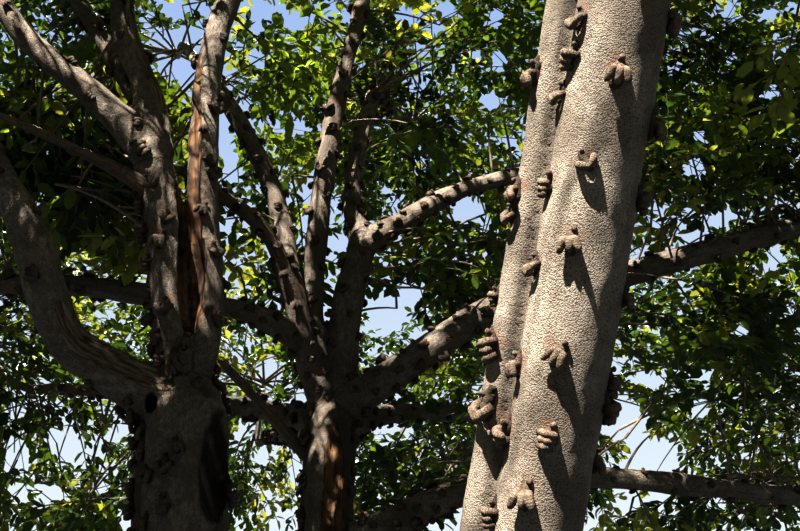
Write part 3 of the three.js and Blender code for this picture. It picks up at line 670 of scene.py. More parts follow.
def grow(mass, rule, taken):
    """The twigs of a mass and the sprays on them, by the frame's seeded rule."""
    twigs, sprays = [], []
    count = rule["twigs"]
    for k in range(count):
        seed = mass.seed * 31 + k + rule["shift"]
        outward = spiral_direction(k, count, FULL_TURN * rnd(mass.seed, 1 + rule["shift"]))
        root = mass.path.point(FIRST_TWIG + TWIG_STRETCH * (count - k - 0.5) / count)
        end = twig_end(mass, rule, outward, root, seed)
        if end is None:
            continue
        grown = []
        for j in range(rule["sprays"]):
            spray = best_spray(mass, rule, outward, root, end, seed, j, taken)
            if spray:
                grown.append(spray)
                taken.append(spray["outer"])
        if grown:
            twigs.append((root, end, rule["radius"]))
            sprays += grown
    return twigs, sprays


@cache
def crown_growth():
    """All twigs and sprays of the crown, as (mass, twigs, sprays)."""
    grown = []
    for mass in CROWN:
        taken = []
        twigs, sprays = grow(mass, FRAME_RULE, taken)
        more_twigs, more_sprays = grow(mass, FILL_RULE, taken)
        grown.append((mass, twigs + more_twigs, sprays + more_sprays))
    return grown


# Meshes from arrays


def tubes(lines, radii, sides, tip=0.5):
    """Closed tubes round many lines at once: their points and triangles."""
    lines = np.asarray(lines, float)
    radii = np.asarray(radii, float)
    count, rings = lines.shape[:2]
    ahead = unit(np.gradient(lines, axis=1))
    side = np.cross(ahead[:, 0], UP)
    steep = np.linalg.norm(side, axis=1) < 0.1
    side[steep] = np.cross(ahead[steep, 0], (1.0, 0.0, 0.0))
    across = np.empty_like(lines)
    for k in range(rings):
        side = unit(side - (side * ahead[:, k]).sum(1, keepdims=True) * ahead[:, k])
        across[:, k] = side
    over = np.cross(ahead, across)
    turn = 2 * math.pi * np.arange(sides) / sides
    out = (np.cos(turn)[:, None] * across[:, :, None] + np.sin(turn)[:, None] * over[:, :, None])
    walls = lines[:, :, None] + radii[:, :, None, None] * out
    tips = lines[:, -1] + ahead[:, -1] * radii[:, -1:] * tip
    points = np.concatenate([walls.reshape(count, -1, 3), tips[:, None]], axis=1)
    faces = []
    for s in range(sides):
        t = (s + 1) % sides
        for r in range(rings - 1):
            a, b = r * sides + s, r * sides + t
            faces += [(a, b, b + sides), (a, b + sides, a + sides)]
        last = (rings - 1) * sides
        faces.append((last + s, last + t, rings * sides))
        if 0 < s < sides - 1:
            faces.append((0, t, s))
    offsets = (rings * sides + 1) * np.arange(count)
    faces = (np.array(faces)[None] + offsets[:, None, None]).reshape(-1, 3)
    return points.reshape(-1, 3), faces


def merged(parts):
    """Several (points, faces) as one."""
    points, faces, offset = [], [], 0
    for p, f in parts:
        points.append(p)
        faces.append(f + offset)
        offset += len(p)
    return np.vstack(points), np.vstack(faces)


def mesh_object(name, points, faces, material=None):
    """A smooth triangle mesh from arrays, as an object at the origin."""
    mesh = bpy.data.meshes.new(name)
    mesh.vertices.add(len(points))
    mesh.vertices.foreach_set("co", np.asarray(points, np.float32).ravel())
    mesh.loops.add(faces.size)
    mesh.loops.foreach_set("vertex_index", np.asarray(faces, np.int32).ravel())
    mesh.polygons.add(len(faces))
    mesh.polygons.foreach_set("loop_start", np.arange(0, faces.size, 3, dtype=np.int32))
    mesh.update(calc_edges=True)
    mesh.shade_smooth()
    if material:
        mesh.materials.append(material)
    piece = bpy.data.objects.new(name, mesh)
    bpy.context.scene.collection.objects.link(piece)
    return piece


def mesh_points(mesh):
    points = np.empty(len(mesh.vertices) * 3, np.float32)
    mesh.vertices.foreach_get("co", points)
    return points.reshape(-1, 3).astype(float)


def evaluated_copy(piece, name):
    """The piece with its modifiers worked in, as a plain mesh. The old object is removed."""
    graph = bpy.context.evaluated_depsgraph_get()
    mesh = bpy.data.meshes.new_from_object(piece.evaluated_get(graph))
    mesh.name = name
    old = piece.data
    bpy.data.objects.remove(piece)
    bpy.data.meshes.remove(old)
    made = bpy.data.objects.new(name, mesh)
    bpy.context.scene.collection.objects.link(made)
    return made


def point_values(mesh, name, values):
    """Stores one number or one vector per vertex under a name."""
    kind = "FLOAT_VECTOR" if values.ndim == 2 else "FLOAT"
    layer = mesh.attributes.get(name) or mesh.attributes.new(name, kind, "POINT")
    field = "vector" if values.ndim == 2 else "value"
    layer.data.foreach_set(field, values.astype(np.float32).ravel())


# Node trees


def rgb(colour):
    return (*colour, 1.0)


class Nodes:
    """A node tree while it is built."""

    def __init__(self, tree):
        self.tree = tree

    def add(self, kind, inputs=None, **settings):
        """A node with its settings, and its inputs set to values or joined to other sockets."""
        node = self.tree.nodes.new(kind)
        for key, value in settings.items():
            setattr(node, key, value)
        for key, value in (inputs or {}).items():
            if isinstance(value, bpy.types.NodeSocket):
                self.tree.links.new(value, node.inputs[key])
            else:
                node.inputs[key].default_value = value
        return node

    def maths(self, operation, *values):
        return self.add("ShaderNodeMath", dict(enumerate(values)), operation=operation).outputs[0]

    def times(self, a, b, plus=None):
        """One value times another, with a third added where it is given."""
        if plus is None:
            return self.maths("MULTIPLY", a, b)
        return self.maths("MULTIPLY_ADD", a, b, plus)

    def spread(self, value, low, high, to_low=0.0, to_high=1.0):
        """A value stretched from one range to another, and held to it."""
        return self.add("ShaderNodeMapRange", {
            "Value": value, "From Min": low, "From Max": high, "To Min": to_low, "To Max": to_high,
        }).outputs[0]

    def stretched(self, vector, scale):
        return self.add("ShaderNodeVectorMath", {0: vector, 1: scale}, operation="MULTIPLY").outputs[0]

    def noise(self, vector, scale, detail=3.0, roughness=0.5):
        inputs = {"Vector": vector, "Scale": scale, "Detail": detail, "Roughness": roughness}
        return self.add("ShaderNodeTexNoise", inputs).outputs[0]

    def mixed(self, share, a, b, blend="MIX"):
        """Two colours mixed. Each is a socket, or red, green and blue."""
        a, b = (colour if isinstance(colour, bpy.types.NodeSocket) else rgb(colour) for colour in (a, b))
        node = self.add("ShaderNodeMix", {0: share, 6: a, 7: b}, data_type="RGBA", blend_type=blend)
        return node.outputs[2]

    def layered(self, colour, *layers):
        """A colour with others laid over it in turn, each as (share, colour)."""
        for share, over in layers:
            colour = self.mixed(share, colour, over)
        return colour


class Finish(Nodes):
    """A material while its nodes are built."""

    def __init__(self, name):
        self.material = bpy.data.materials.new(name)
        self.material.use_nodes = True
        super().__init__(self.material.node_tree)
        self.tree.nodes.clear()
        self.output = self.add("ShaderNodeOutputMaterial")

    def place(self):
        return self.add("ShaderNodeTexCoord").outputs["Object"]

    def attribute(self, name, output="Fac"):
        return self.add("ShaderNodeAttribute", attribute_name=name).outputs[output]

    def end(self, shader):
        """Joins the shader to the material's surface, and returns the material."""
        self.tree.links.new(shader.outputs[0], self.output.inputs["Surface"])
        return self.material

    def wood(self, colour, roughness, height, relief):
        """Ends as dull wood or bark, with the heights as relief of this depth in metres."""
        bump = self.add("ShaderNodeBump", {"Height": height, "Strength": 1.0, "Distance": relief})
        return self.end(self.add("ShaderNodeBsdfPrincipled", {
            "Base Color": colour, "Roughness": roughness, "Normal": bump.outputs[0],
            "Specular IOR Level": WOOD_GLOSS}))


class Shaping(Nodes):
    """Geometry nodes with named inputs while they are built."""

    def __init__(self, name, **inputs):
        super().__init__(bpy.data.node_groups.new(name, "GeometryNodeTree"))
        face = self.tree.interface
        for label, kind in {"Geometry": "Geometry", **inputs, "Material": "Material"}.items():
            face.new_socket(label.replace("_", " "), in_out="INPUT", socket_type="NodeSocket" + kind)
        face.new_socket("Geometry", in_out="OUTPUT", socket_type="NodeSocketGeometry")
        self.given = self.add("NodeGroupInput").outputs

    def stored(self, name, kind="FLOAT"):
        node = self.add("GeometryNodeInputNamedAttribute", {"Name": name}, data_type=kind)
        return next(socket for socket in node.outputs if socket.enabled)

    def end(self, last):
        """Makes instances real, gives the result its material and returns the tree."""
        real = self.add("GeometryNodeRealizeInstances", {0: last.outputs[0]})
        done = self.add("GeometryNodeSetMaterial", {
            0: real.outputs[0], "Material": self.given["Material"]})
        self.add("NodeGroupOutput", {0: done.outputs[0]})
        return self.tree


@cache
def bark_material():
    """Warm grey bark with dark pits, pale patches, scars, weathered wood and rot, and painted shade between
    its grains, in its ridge gaps, in the creases by its ribs and inside the hollows.
    """
    settings = bpy.context.scene.fig_bark
    nodes = Finish("fig_bark")
    place = nodes.place()
    limb = nodes.attribute("limb_space", "Vector")
    marks = ("bare_wood", "rot", "scar", "hollow", "crease", "rugged")
    bare, rot, scar, hollow, crease, rugged = (nodes.attribute(name) for name in marks)

    ridges = nodes.noise(nodes.stretched(limb, (1.0, 1.0, 0.5)), 44.0, 4.0, 0.7)
    patches = nodes.spread(nodes.noise(place, 3.7, 4.0, 0.62), 0.38, 0.62)
    mottle = nodes.spread(nodes.noise(place, 21.0, 3.0, 0.6), 0.3, 0.7)
    streaks = nodes.noise(nodes.stretched(limb, (1.0, 1.0, 0.16)), 13.0, 3.0)
    streaks = nodes.spread(streaks, 0.5, 0.74)
    pale = nodes.spread(nodes.noise(place, 5.3, 5.0, 0.65), 0.58, 0.7)
    grain = nodes.noise(place, GRAIN_SCALE, 3.0, 0.7)

    # Grit of the bark: pale raised grains in wavy rows. The dark between them is partly the bark's own pits
    # and partly painted shade that the grains would cast.
    bend = nodes.add("ShaderNodeTexNoise", {"Vector": place, "Scale": 110.0, "Detail": 3.0})
    bent = nodes.stretched(bend.outputs[1], (GRIT_BEND, GRIT_BEND, GRIT_BEND))
    bent = nodes.add("ShaderNodeVectorMath", {0: place, 1: bent})
    cells = nodes.add("ShaderNodeTexVoronoi", {"Vector": bent.outputs[0], "Scale": settings.pit_scale})
    fine = nodes.noise(place, settings.pit_scale * 1.7, 2.0, 0.6)
    grit = nodes.times(fine, 0.9, plus=cells.outputs[0])
    coarse = nodes.spread(nodes.noise(place, 6.0, 3.0), 0.35, 0.65, 0.7, 1.0)
    pits_and_grain_shade = nodes.times(nodes.spread(grit, 1.0, 1.22), coarse)
    domes = nodes.spread(grit, 1.25, 0.55)

    # Painted shade in the gaps between the ridges of rugged bark
    gaps = nodes.times(rugged, nodes.spread(ridges, 0.6, 0.38, 0.2, 0.78))
    scar_edge = nodes.times(nodes.maths("SUBTRACT", mottle, 0.5), 0.5)
    scar_share = nodes.spread(nodes.maths("ADD", scar, scar_edge), 0.35, 0.8, 0.0, 0.6)

    fibres = nodes.noise(nodes.stretched(limb, (1.0, 1.0, 0.05)), 70.0, 4.0, 0.65)
    blotches = nodes.spread(nodes.noise(place, 9.0, 3.0), 0.4, 0.65)
    wood = nodes.mixed(nodes.spread(fibres, 0.4, 0.62), *BARE_WOOD)
    rotten = nodes.layered(
        nodes.mixed(nodes.spread(fibres, 0.36, 0.66), *ROTTEN_WOOD),
        (nodes.times(blotches, 0.85), ROT_BLOTCHES),
        (nodes.spread(mottle, 0.6, 0.95, 0.0, 0.6), ROT_SPECKS))
    ragged = nodes.times(nodes.maths("SUBTRACT", fibres, 0.5), 1.0)
    bare_share = nodes.spread(nodes.maths("ADD", bare, ragged), 0.4, 0.55)
    rot_share = nodes.spread(nodes.maths("ADD", rot, ragged), 0.4, 0.55)

    colour = nodes.layered(
        nodes.mixed(patches, settings.dark_colour, settings.pale_colour),
        (nodes.times(mottle, 0.5), settings.brown_colour),
        (nodes.times(pale, nodes.times(rugged, 0.3, plus=0.5)), settings.patch_colour),
        (nodes.times(streaks, 0.5), BARK_STREAKS),
        (nodes.times(grain, 0.3), BARK_GRAIN),
        # dark pits, partly the bark's own and partly painted shade between the raised grains
        (nodes.times(pits_and_grain_shade, 0.78), settings.pit_and_shade_colour),
        # painted shade in the groove where a rib meets its stem
        (nodes.times(crease, 0.8), settings.pit_and_shade_colour),
        (gaps, RIDGE_GAP_SHADE),
        (scar_share, settings.scar_colour),
        (bare_share, wood),
        (rot_share, rotten),
        # painted shade: the hollows' insides are near black
        (hollow, nodes.mixed(fibres, *HOLLOW_INSIDE_SHADE)))

    off_bark = nodes.maths("MAXIMUM", nodes.maths("MAXIMUM", bare_share, rot_share), hollow)
    height = nodes.times(domes, coarse)
    height = nodes.times(grain, 0.35, plus=height)
    height = nodes.times(nodes.times(ridges, rugged), 5.0, plus=height)
    height = nodes.times(height, nodes.maths("SUBTRACT", 1.0, off_bark))
    height = nodes.times(nodes.times(fibres, off_bark), 3.0, plus=height)
    roughness = nodes.spread(grain, 0.3, 0.7, 0.72, 0.95)
    return nodes.wood(colour, roughness, height, BARK_RELIEF)


@cache
def dead_wood_material():
    """Bark-less limbs: brown and grey fibres along the limb, with flakes of old bark."""
    nodes = Finish("fig_dead_wood")
    place = nodes.place()
    limb = nodes.attribute("limb_space", "Vector")
    fibres = nodes.noise(nodes.stretched(limb, (1.0, 1.0, 0.06)), 60.0, 4.0, 0.65)
    flakes = nodes.spread(nodes.noise(place, 16.0, 4.0, 0.65), 0.5, 0.58)
    wood = nodes.mixed(nodes.spread(fibres, 0.3, 0.7), *DEAD_WOOD)
    colour = nodes.mixed(flakes, wood, DEAD_FLAKES)
    height = nodes.times(flakes, 0.8, plus=fibres)
    return nodes.wood(colour, nodes.spread(fibres, 0.3, 0.7, 0.7, 0.92), height, DEAD_WOOD_RELIEF)


@cache
def knob_material(name, tone):
    """Warm tan wood of the knobs with rings round the lobes, and painted shade that makes them darker and
    redder near the bark, between the lobes and in the rings' grooves.
    """
    settings = bpy.context.scene.fig_knobs
    nodes = Finish(name)
    place = nodes.place()
    depth = nodes.attribute("fold")
    mottle = nodes.noise(place, 52.0, 4.0, 0.7)
    grain = nodes.noise(place, GRAIN_SCALE, 3.0, 0.7)
    wide = nodes.spread(nodes.noise(place, 9.0, 2.0), 0.35, 0.65)
    uneven = nodes.times(mottle, 0.022, plus=nodes.attribute("along_lobe"))
    rings = nodes.maths("SINE", nodes.times(uneven, 2 * math.pi / RING_GAP))
    ring_gaps = nodes.times(nodes.spread(rings, 0.55, 1.0), wide)
    mottled = nodes.spread(mottle, 0.36, 0.62)
    colour = nodes.layered(
        nodes.mixed(mottled, settings.dark_colour, settings.pale_colour),
        (nodes.times(wide, 0.5), settings.grey_colour),
        # painted shade near the bark, under and between the lobes
        (nodes.times(depth, 0.9), settings.fold_shade_colour),
        (nodes.spread(grain, 0.55, 0.75, 0.0, 0.6), KNOB_SPECKS),
        # painted shade in the grooves of the rings
        (nodes.times(ring_gaps, 0.7), settings.fold_shade_colour))
    # A tone under one darkens the whole copy as painted shade
    colour = nodes.mixed(1.0, colour, (tone, tone, tone), "MULTIPLY")
    height = nodes.times(mottle, 1.6, plus=grain)
    height = nodes.times(ring_gaps, -0.8, plus=height)
    return nodes.wood(colour, nodes.spread(mottle, 0.3, 0.7, 0.7, 0.92), height, KNOB_RELIEF)


@cache
def twig_material():
    """Smooth grey-brown twig bark with pale marks."""
    nodes = Finish("fig_twig_bark")
    place = nodes.place()
    mottle = nodes.noise(place, 30.0, 4.0, 0.6)
    marks = nodes.spread(nodes.noise(place, 120.0, 2.0), 0.6, 0.7)
    colour = nodes.mixed(nodes.spread(mottle, 0.3, 0.7), *TWIG_BARK)
    colour = nodes.mixed(nodes.times(marks, 0.6), colour, TWIG_MARKS)
    return nodes.wood(colour, nodes.spread(mottle, 0.3, 0.7, 0.65, 0.9), mottle, TWIG_RELIEF)


def leaf_material(name, colour):
    """A thin glossy leaf: plain green, glowing where light comes through, with raised veins."""
    nodes = Finish(name)
    uv = nodes.add("ShaderNodeUVMap", uv_map="leaf").outputs[0]
    axes = nodes.add("ShaderNodeSeparateXYZ", {0: uv}).outputs
    middle = nodes.maths("ABSOLUTE", nodes.maths("SUBTRACT", axes[1], 0.5))
    slanted = nodes.times(middle, -0.9, plus=axes[0])
    ribs = nodes.maths("SINE", nodes.times(slanted, 56.0))
    rib_height = nodes.spread(ribs, 0.6, 1.0)
    midrib = nodes.spread(middle, 0.0, 0.05, 1.0, 0.0)
    height = nodes.maths("MAXIMUM", midrib, nodes.times(rib_height, 0.4))
    bump = nodes.add("ShaderNodeBump", {"Height": height, "Strength": 0.5, "Distance": LEAF_RELIEF})
    gloss = nodes.add("ShaderNodeBsdfPrincipled", {
        "Base Color": rgb(colour), "Roughness": 0.42, "Normal": bump.outputs[0]})
    lit = [min(1.0, channel * factor) for channel, factor in zip(colour, LEAF_GLOW)]
    through = nodes.add("ShaderNodeBsdfTranslucent", {"Color": rgb(lit)})
    return nodes.end(nodes.add("ShaderNodeMixShader", {
        0: bpy.context.scene.fig_leaves.glow, 1: gloss.outputs[0], 2: through.outputs[0]}))


# Settings

LENGTH = dict(subtype="DISTANCE", unit="LENGTH")
COLOUR = dict(min=0, max=1, subtype="COLOR")


class FigBarkSettings(bpy.types.PropertyGroup):
    """Sizes and colours of the bark."""

    grain: FloatProperty(
        name="Mesh size", description="Distance between the points of the bark mesh",
        default=0.0128, min=0.006, max=0.06, **LENGTH)
    swell_size: FloatProperty(
        name="Swelling size", description="Width of the broad swellings",
        default=0.42, min=0.05, max=2, **LENGTH)
    swell_depth: FloatProperty(
        name="Swelling depth", description="Height of the broad swellings",
        default=0.03, min=0, max=0.1, **LENGTH)
    fold_size: FloatProperty(
        name="Fold size", description="Width of the folds along a limb",
        default=0.11, min=0.02, max=1, **LENGTH)
    fold_depth: FloatProperty(
        name="Fold depth", description="Height of the folds along a limb",
        default=0.018, min=0, max=0.1, **LENGTH)
    crack_depth: FloatProperty(
        name="Crack depth", description="Depth of the cracks in bare wood",
        default=0.034, min=0, max=0.1, **LENGTH)
    pit_scale: FloatProperty(
        name="Pits per metre", description="How close the dark pits stand",
        default=180.0, min=10, max=400)
    pale_colour: FloatVectorProperty(
        name="Pale bark", description="Colour of the lighter bark",
        default=(0.375, 0.322, 0.26), **COLOUR)
    dark_colour: FloatVectorProperty(
        name="Dark bark", description="Colour of the darker bark",
        default=(0.175, 0.145, 0.115), **COLOUR)
    brown_colour: FloatVectorProperty(
        name="Brown bark", description="Colour of the brown mottling",
        default=(0.15, 0.114, 0.084), **COLOUR)
    patch_colour: FloatVectorProperty(
        name="Pale patches", description="Colour of the pale patches",
        default=(0.45, 0.4, 0.335), **COLOUR)
    # Also the colour of the painted shade between the grains and in the creases where ribs meet a stem
    pit_and_shade_colour: FloatVectorProperty(
        name="Pits", description="Colour of the dark pits",
        default=(0.028, 0.02, 0.014), **COLOUR)
    scar_colour: FloatVectorProperty(
        name="Scars", description="Colour of the bark above a knob",
        default=(0.17, 0.09, 0.055), **COLOUR)


class FigKnobSettings(bpy.types.PropertyGroup):
    """Sizes and colours of the knob clusters."""

    spacing: FloatProperty(
        name="Spacing", description="From one cluster to the next along a bough",
        default=0.17, min=0.05, max=2, **LENGTH)
    size: FloatProperty(
        name="Size", description="Size of a cluster, as a share of the full one",
        default=1.0, min=0.3, max=3, subtype="FACTOR")
    pale_colour: FloatVectorProperty(
        name="Pale wood", description="Colour of the knobs' tops",
        default=(0.235, 0.172, 0.12), **COLOUR)
    dark_colour: FloatVectorProperty(
        name="Dark wood", description="Colour of the knobs' mottling",
        default=(0.075, 0.048, 0.032), **COLOUR)
    # Painted shade: how much darker the copy of the knob wood is that the knobs in shade get
    knob_shade_tone: FloatProperty(
        name="Dark knobs", description="Tone of the darker knobs of the boughs",
        default=0.64, min=0, max=1, subtype="FACTOR")
    grey_colour: FloatVectorProperty(
        name="Grey wood", description="Colour of weathered knobs",
        default=(0.185, 0.15, 0.115), **COLOUR)
    # Colour of the painted shade between the lobes and in the grooves of their rings
    fold_shade_colour: FloatVectorProperty(
        name="Folds", description="Colour between the lobes",
        default=(0.028, 0.015, 0.009), **COLOUR)


class FigLeafSettings(bpy.types.PropertyGroup):
    """Sizes and colours of the leaves."""

    length: FloatProperty(
        name="Length", description="Length of a full leaf", default=0.114, min=0.02, max=0.5, **LENGTH)
    width: FloatProperty(
        name="Width", description="Width of a leaf, as a share of its length",
        default=0.56, min=0.1, max=1, subtype="FACTOR")
    internode: FloatProperty(
        name="Leaf spacing", description="From one leaf to the next on a shoot",
        default=0.039, min=0.01, max=0.5, **LENGTH)
    glow: FloatProperty(
        name="Glow", description="Share of light that comes through a leaf",
        default=0.42, min=0, max=1, subtype="FACTOR")
    shoots: IntProperty(
        name="Side shoots", description="Side shoots on a long spray", default=10, min=3, max=30)
    seed: IntProperty(name="Seed", description="Seed of the leaves' places", default=7, min=0)


class FigStageSettings(bpy.types.PropertyGroup):
    """Camera and light."""

    camera_place: FloatVectorProperty(
        name="Camera place", description="Where the camera stands",
        default=(0.4, -4.3, 1.6), subtype="TRANSLATION", unit="LENGTH")
    camera_pitch: FloatProperty(
        name="Camera pitch", description="How far the camera looks up",
        default=math.radians(25), subtype="ANGLE", unit="ROTATION")
    lens: FloatProperty(
        name="Lens", description="Focal length in millimetres", default=40.5, min=10)
    key_power: FloatProperty(
        name="Key light", description="Strength of the main light", default=31.0)
    sky_power: FloatProperty(
        name="Sky light", description="Strength of the backdrop", default=1.0)
    sky_high: FloatVectorProperty(
        name="Backdrop above", description="Colour of the backdrop, high up",
        default=(0.42, 0.58, 0.91), **COLOUR)
    sky_low: FloatVectorProperty(
        name="Backdrop below", description="Colour of the backdrop, low down",
        default=(0.86, 0.95, 1.0), **COLOUR)
    floor: FloatVectorProperty(
        name="Floor", description="Colour of the pale floor",
        default=(0.68, 0.66, 0.62), **COLOUR)


# Bark


def limb_line(limb, step):
    """A limb's middle line and radii, in rings this far apart."""
    rings = max(6, round(limb.length / step))
    shares = np.linspace(0, 1, rings + 1)
    line = limb.path.at(shares)
    radii = limb.radius(shares)
    if limb.is_stem:
        # The foot goes on below the ground, and is cut level later
        below = line[0] - limb.path.tangent(0) * FOOT_BELOW
        line = np.vstack([below, line])
        radii = np.concatenate([radii[:1], radii])
    return line, radii


def limb_tube(limb, step, sides):
    line, radii = limb_line(limb, step)
    return tubes([line], [radii], sides)


def stem_parts(limb):
    """The stem's own tube, its ribs and its buttresses."""
    line, radii = limb_line(limb, RING_STEP)
    parts = [tubes([line], [radii], 28)]
    for heading, out, share in limb.row["ribs"]:
        parts.append(tubes([line + direction(heading) * out * MM], [radii * share], 20))
    foot = np.array((*limb.row["foot"], 0)) * MM
    for heading, reach in limb.row["buttresses"]:
        knee = foot + direction(heading) * reach * MM * 0.45 + UP * BUTTRESS_RISE * MM * 0.33
        toe = foot + direction(heading) * reach * MM - UP * BUTTRESS_RADII[1] * MM * 0.6
        path = Path([foot + UP * BUTTRESS_RISE * MM, knee, toe])
        shares = np.linspace(0, 1, 12)
        wide = (BUTTRESS_RADII[0] + (BUTTRESS_RADII[1] - BUTTRESS_RADII[0]) * shares) * MM
        parts.append(tubes([path.at(shares)], [wide], 14))
    return parts


def ball():
    """The points and faces of a ball of radius 1."""
    made = bmesh.new()
    bmesh.ops.create_icosphere(made, subdivisions=4, radius=1)
    points = np.array([v.co for v in made.verts])
    faces = np.array([[v.index for v in f.verts] for f in made.faces])
    made.free()
    return points, faces


def mound_part():
    """The wood that joins the feet."""
    points, faces = ball()
    return points * np.array(MOUND) * MM, faces


def cut_level(piece):
    """Cuts the mesh off flat at the ground and closes the cut."""
    made = bmesh.new()
    made.from_mesh(piece.data)
    everything = made.verts[:] + made.edges[:] + made.faces[:]
    cut = bmesh.ops.bisect_plane(made, geom=everything, plane_co=(0, 0, 0), plane_no=(0, 0, -1),
                                 clear_outer=True)
    rim = [e for e in cut["geom_cut"] if isinstance(e, bmesh.types.BMEdge)]
    bmesh.ops.triangle_fill(made, edges=rim, normal=(0, 0, -1), use_beauty=True)
    made.to_mesh(piece.data)
    made.free()


def add_skin(piece, name, size):
    """One closed skin round all that the piece holds, with its points this far apart."""
    skin = piece.modifiers.new(name, "REMESH")
    skin.mode = "VOXEL"
    skin.voxel_size = size


@cache
def wound_line(index):
    """The middle line and radii of the round tool that takes the bark off."""
    wound = WOUNDS[index]
    limb = LIMBS[wound["limb"]]
    run = np.linspace(0, 1, 28)
    shares = (wound["legs"][0] + (wound["legs"][1] - wound["legs"][0]) * run) / limb.legs
    axis = limb.path.at(shares)
    ahead = unit(np.gradient(axis, axis=0))
    facing = np.array(wound["facing"])
    level = unit(facing - (ahead @ facing)[:, None] * ahead)
    swell = np.sqrt(np.maximum(np.sin(np.pi * run), 0.02)) * (1 + 0.12 * np.sin(run * 19))
    width = wound["width"] * MM * swell
    out = limb.radius(shares) - wound["depth"] * MM * swell + width
    return axis + level * out[:, None], width


def cutter_mesh(stem):
    """The hollows and wounds of one stem and its boughs, as closed meshes to cut away."""
    parts = []
    for index, wound in enumerate(WOUNDS):
        if LIMBS[wound["limb"]].stem == stem:
            line, width = wound_line(index)
            parts.append(tubes([line], [width], 16, tip=0.2))
    for middle, half in HOLLOWS if stem == "left_stem" else ():
        points, faces = ball()
        lumps = 1 + 0.08 * np.sin(points @ np.array((5.0, 3.0, 7.0)))
        parts.append(((points * lumps[:, None] * half + middle) * MM, faces))
    if not parts:
        return None
    cutter = mesh_object("cutter", *merged(parts))
    add_skin(cutter, "skin", CUTTER_GRAIN)
    return evaluated_copy(cutter, "cutter")


def hollow_lips():
    """The rolled bark round the hollows, thickest above them."""
    stem = LIMBS["left_stem"]
    shares = np.linspace(0, 1, 200)
    heights = stem.path.at(shares)[:, 2]
    parts = []
    for middle, half in HOLLOWS:
        middle, half = np.array(middle) * MM, np.array(half) * MM
        turn = np.linspace(0, 2 * math.pi, 34)
        outward = middle - stem.path.point(np.interp(middle[2], heights, shares))
        outward[2] = 0
        outward = unit(outward)
        line = []
        for t in turn:
            height = middle[2] + half[2] * 1.05 * math.sin(t)
            share = np.interp(height, heights, shares)
            axis = stem.path.point(share)
            around = float(stem.radius(share))
            level = half[0] * 1.08 * math.cos(t)
            forward = math.sqrt(max(0.0, around**2 - level**2))
            line.append((*(axis + outward * forward + np.cross(UP, outward) * level)[:2], height))
        thick = half[0] * (0.5 + 0.42 * np.maximum(0, np.sin(turn)) - 0.14 * np.cos(turn))
        parts.append(tubes([line], [thick], 12))
    return parts


def wound_marks(points):
    """How far each point lies in bare wood, in rotten wood and in a hollow."""
    marks = {kind: np.zeros(len(points)) for kind in ("bare", "rot", "hollow")}
    for index, wound in enumerate(WOUNDS):
        line, width = wound_line(index)
        reach = width.max() + 0.02
        near = ((points > line.min(0) - reach) & (points < line.max(0) + reach)).all(1)
        here = np.nonzero(near)[0]
        if not len(here):
            continue
        run = np.linspace(0, len(line) - 1, len(line) * 6)
        fine = np.array([np.interp(run, np.arange(len(line)), column) for column in (*line.T, width)])
        mark = marks[wound["kind"]][here]
        for *middle, radius in fine.T:
            gap = np.linalg.norm(points[here] - middle, axis=1)
            mark = np.maximum(mark, np.clip((radius * 1.02 + 0.006 - gap) / WOUND_EDGE + 0.5, 0, 1))
        marks[wound["kind"]][here] = mark
    for middle, half in HOLLOWS:
        scaled = np.linalg.norm((points - np.array(middle) * MM) / (np.array(half) * MM), axis=1)
        marks["hollow"] = np.maximum(marks["hollow"], np.clip((1.1 - scaled) / 0.1, 0, 1))
    return marks


def crease_marks(points, stem):
    """How near each point lies to a line where a rib meets its stem, where a groove is cut and painted
    shade darkens the bark.
    """
    shares = np.linspace(0, 1, 240)
    line, radii = stem.path.at(shares), stem.radius(shares)
    ahead = unit(np.gradient(line, axis=0))
    mark = np.zeros(len(points))
    near = np.nonzero(points[:, 2] < line[-1, 2])[0]
    at = np.minimum(np.searchsorted(line[:, 2], points[near, 2]), len(line) - 1)
    for heading, out, share in stem.row["ribs"]:
        gaps = []
        for middle, radius in ((line, radii), (line + direction(heading) * out * MM, radii * share)):
            away = points[near] - middle[at]
            away -= (away * ahead[at]).sum(1, keepdims=True) * ahead[at]
            gaps.append(np.linalg.norm(away, axis=1) - radius[at])
        square = gaps[0] ** 2 + gaps[1] ** 2
        mark[near] = np.maximum(mark[near], np.exp(-square / (2 * CREASE_WIDTH**2)))
    return mark


def remesh(piece, grain, cutter=None):
    """One closed skin round overlapping tubes, with the hollows cut in and the joins smoothed."""
    add_skin(piece, "skin", grain)
    if cutter:
        cut = piece.modifiers.new("hollows", "BOOLEAN")
        cut.operation = "DIFFERENCE"
        cut.solver = "EXACT"
        cut.object = cutter
        add_skin(piece, "skin_again", grain)
    soft = piece.modifiers.new("soften", "SMOOTH")
    soft.factor = 0.5
    soft.iterations = 6
    piece = evaluated_copy(piece, piece.name)
    if cutter:
        bpy.data.objects.remove(cutter)
    return piece


def limb_places(points, limbs):
    """For each point: the nearest limb's index, the share along it and the offset from its line."""
    lines, radii, owner, shares = [], [], [], []
    for i, limb in enumerate(limbs):
        share = np.linspace(0, 1, max(4, round(limb.length / 0.04)) + 1)
        lines.append(limb.path.at(share))
        radii.append(limb.radius(share))
        owner += [i] * len(share)
        shares.append(share)
    lines, radii = np.vstack(lines), np.concatenate(radii)
    owner, shares = np.array(owner), np.concatenate(shares)
    nearest = np.empty(len(points), int)
    for i in range(0, len(points), 2 * BLOCK):
        some = points[i:i + 2 * BLOCK]
        square = (some**2).sum(1)[:, None] - 2 * some @ lines.T + (lines**2).sum(1)
        nearest[i:i + 2 * BLOCK] = (np.sqrt(np.maximum(square, 0)) - radii).argmin(1)
    return owner[nearest], shares[nearest], points - lines[nearest]


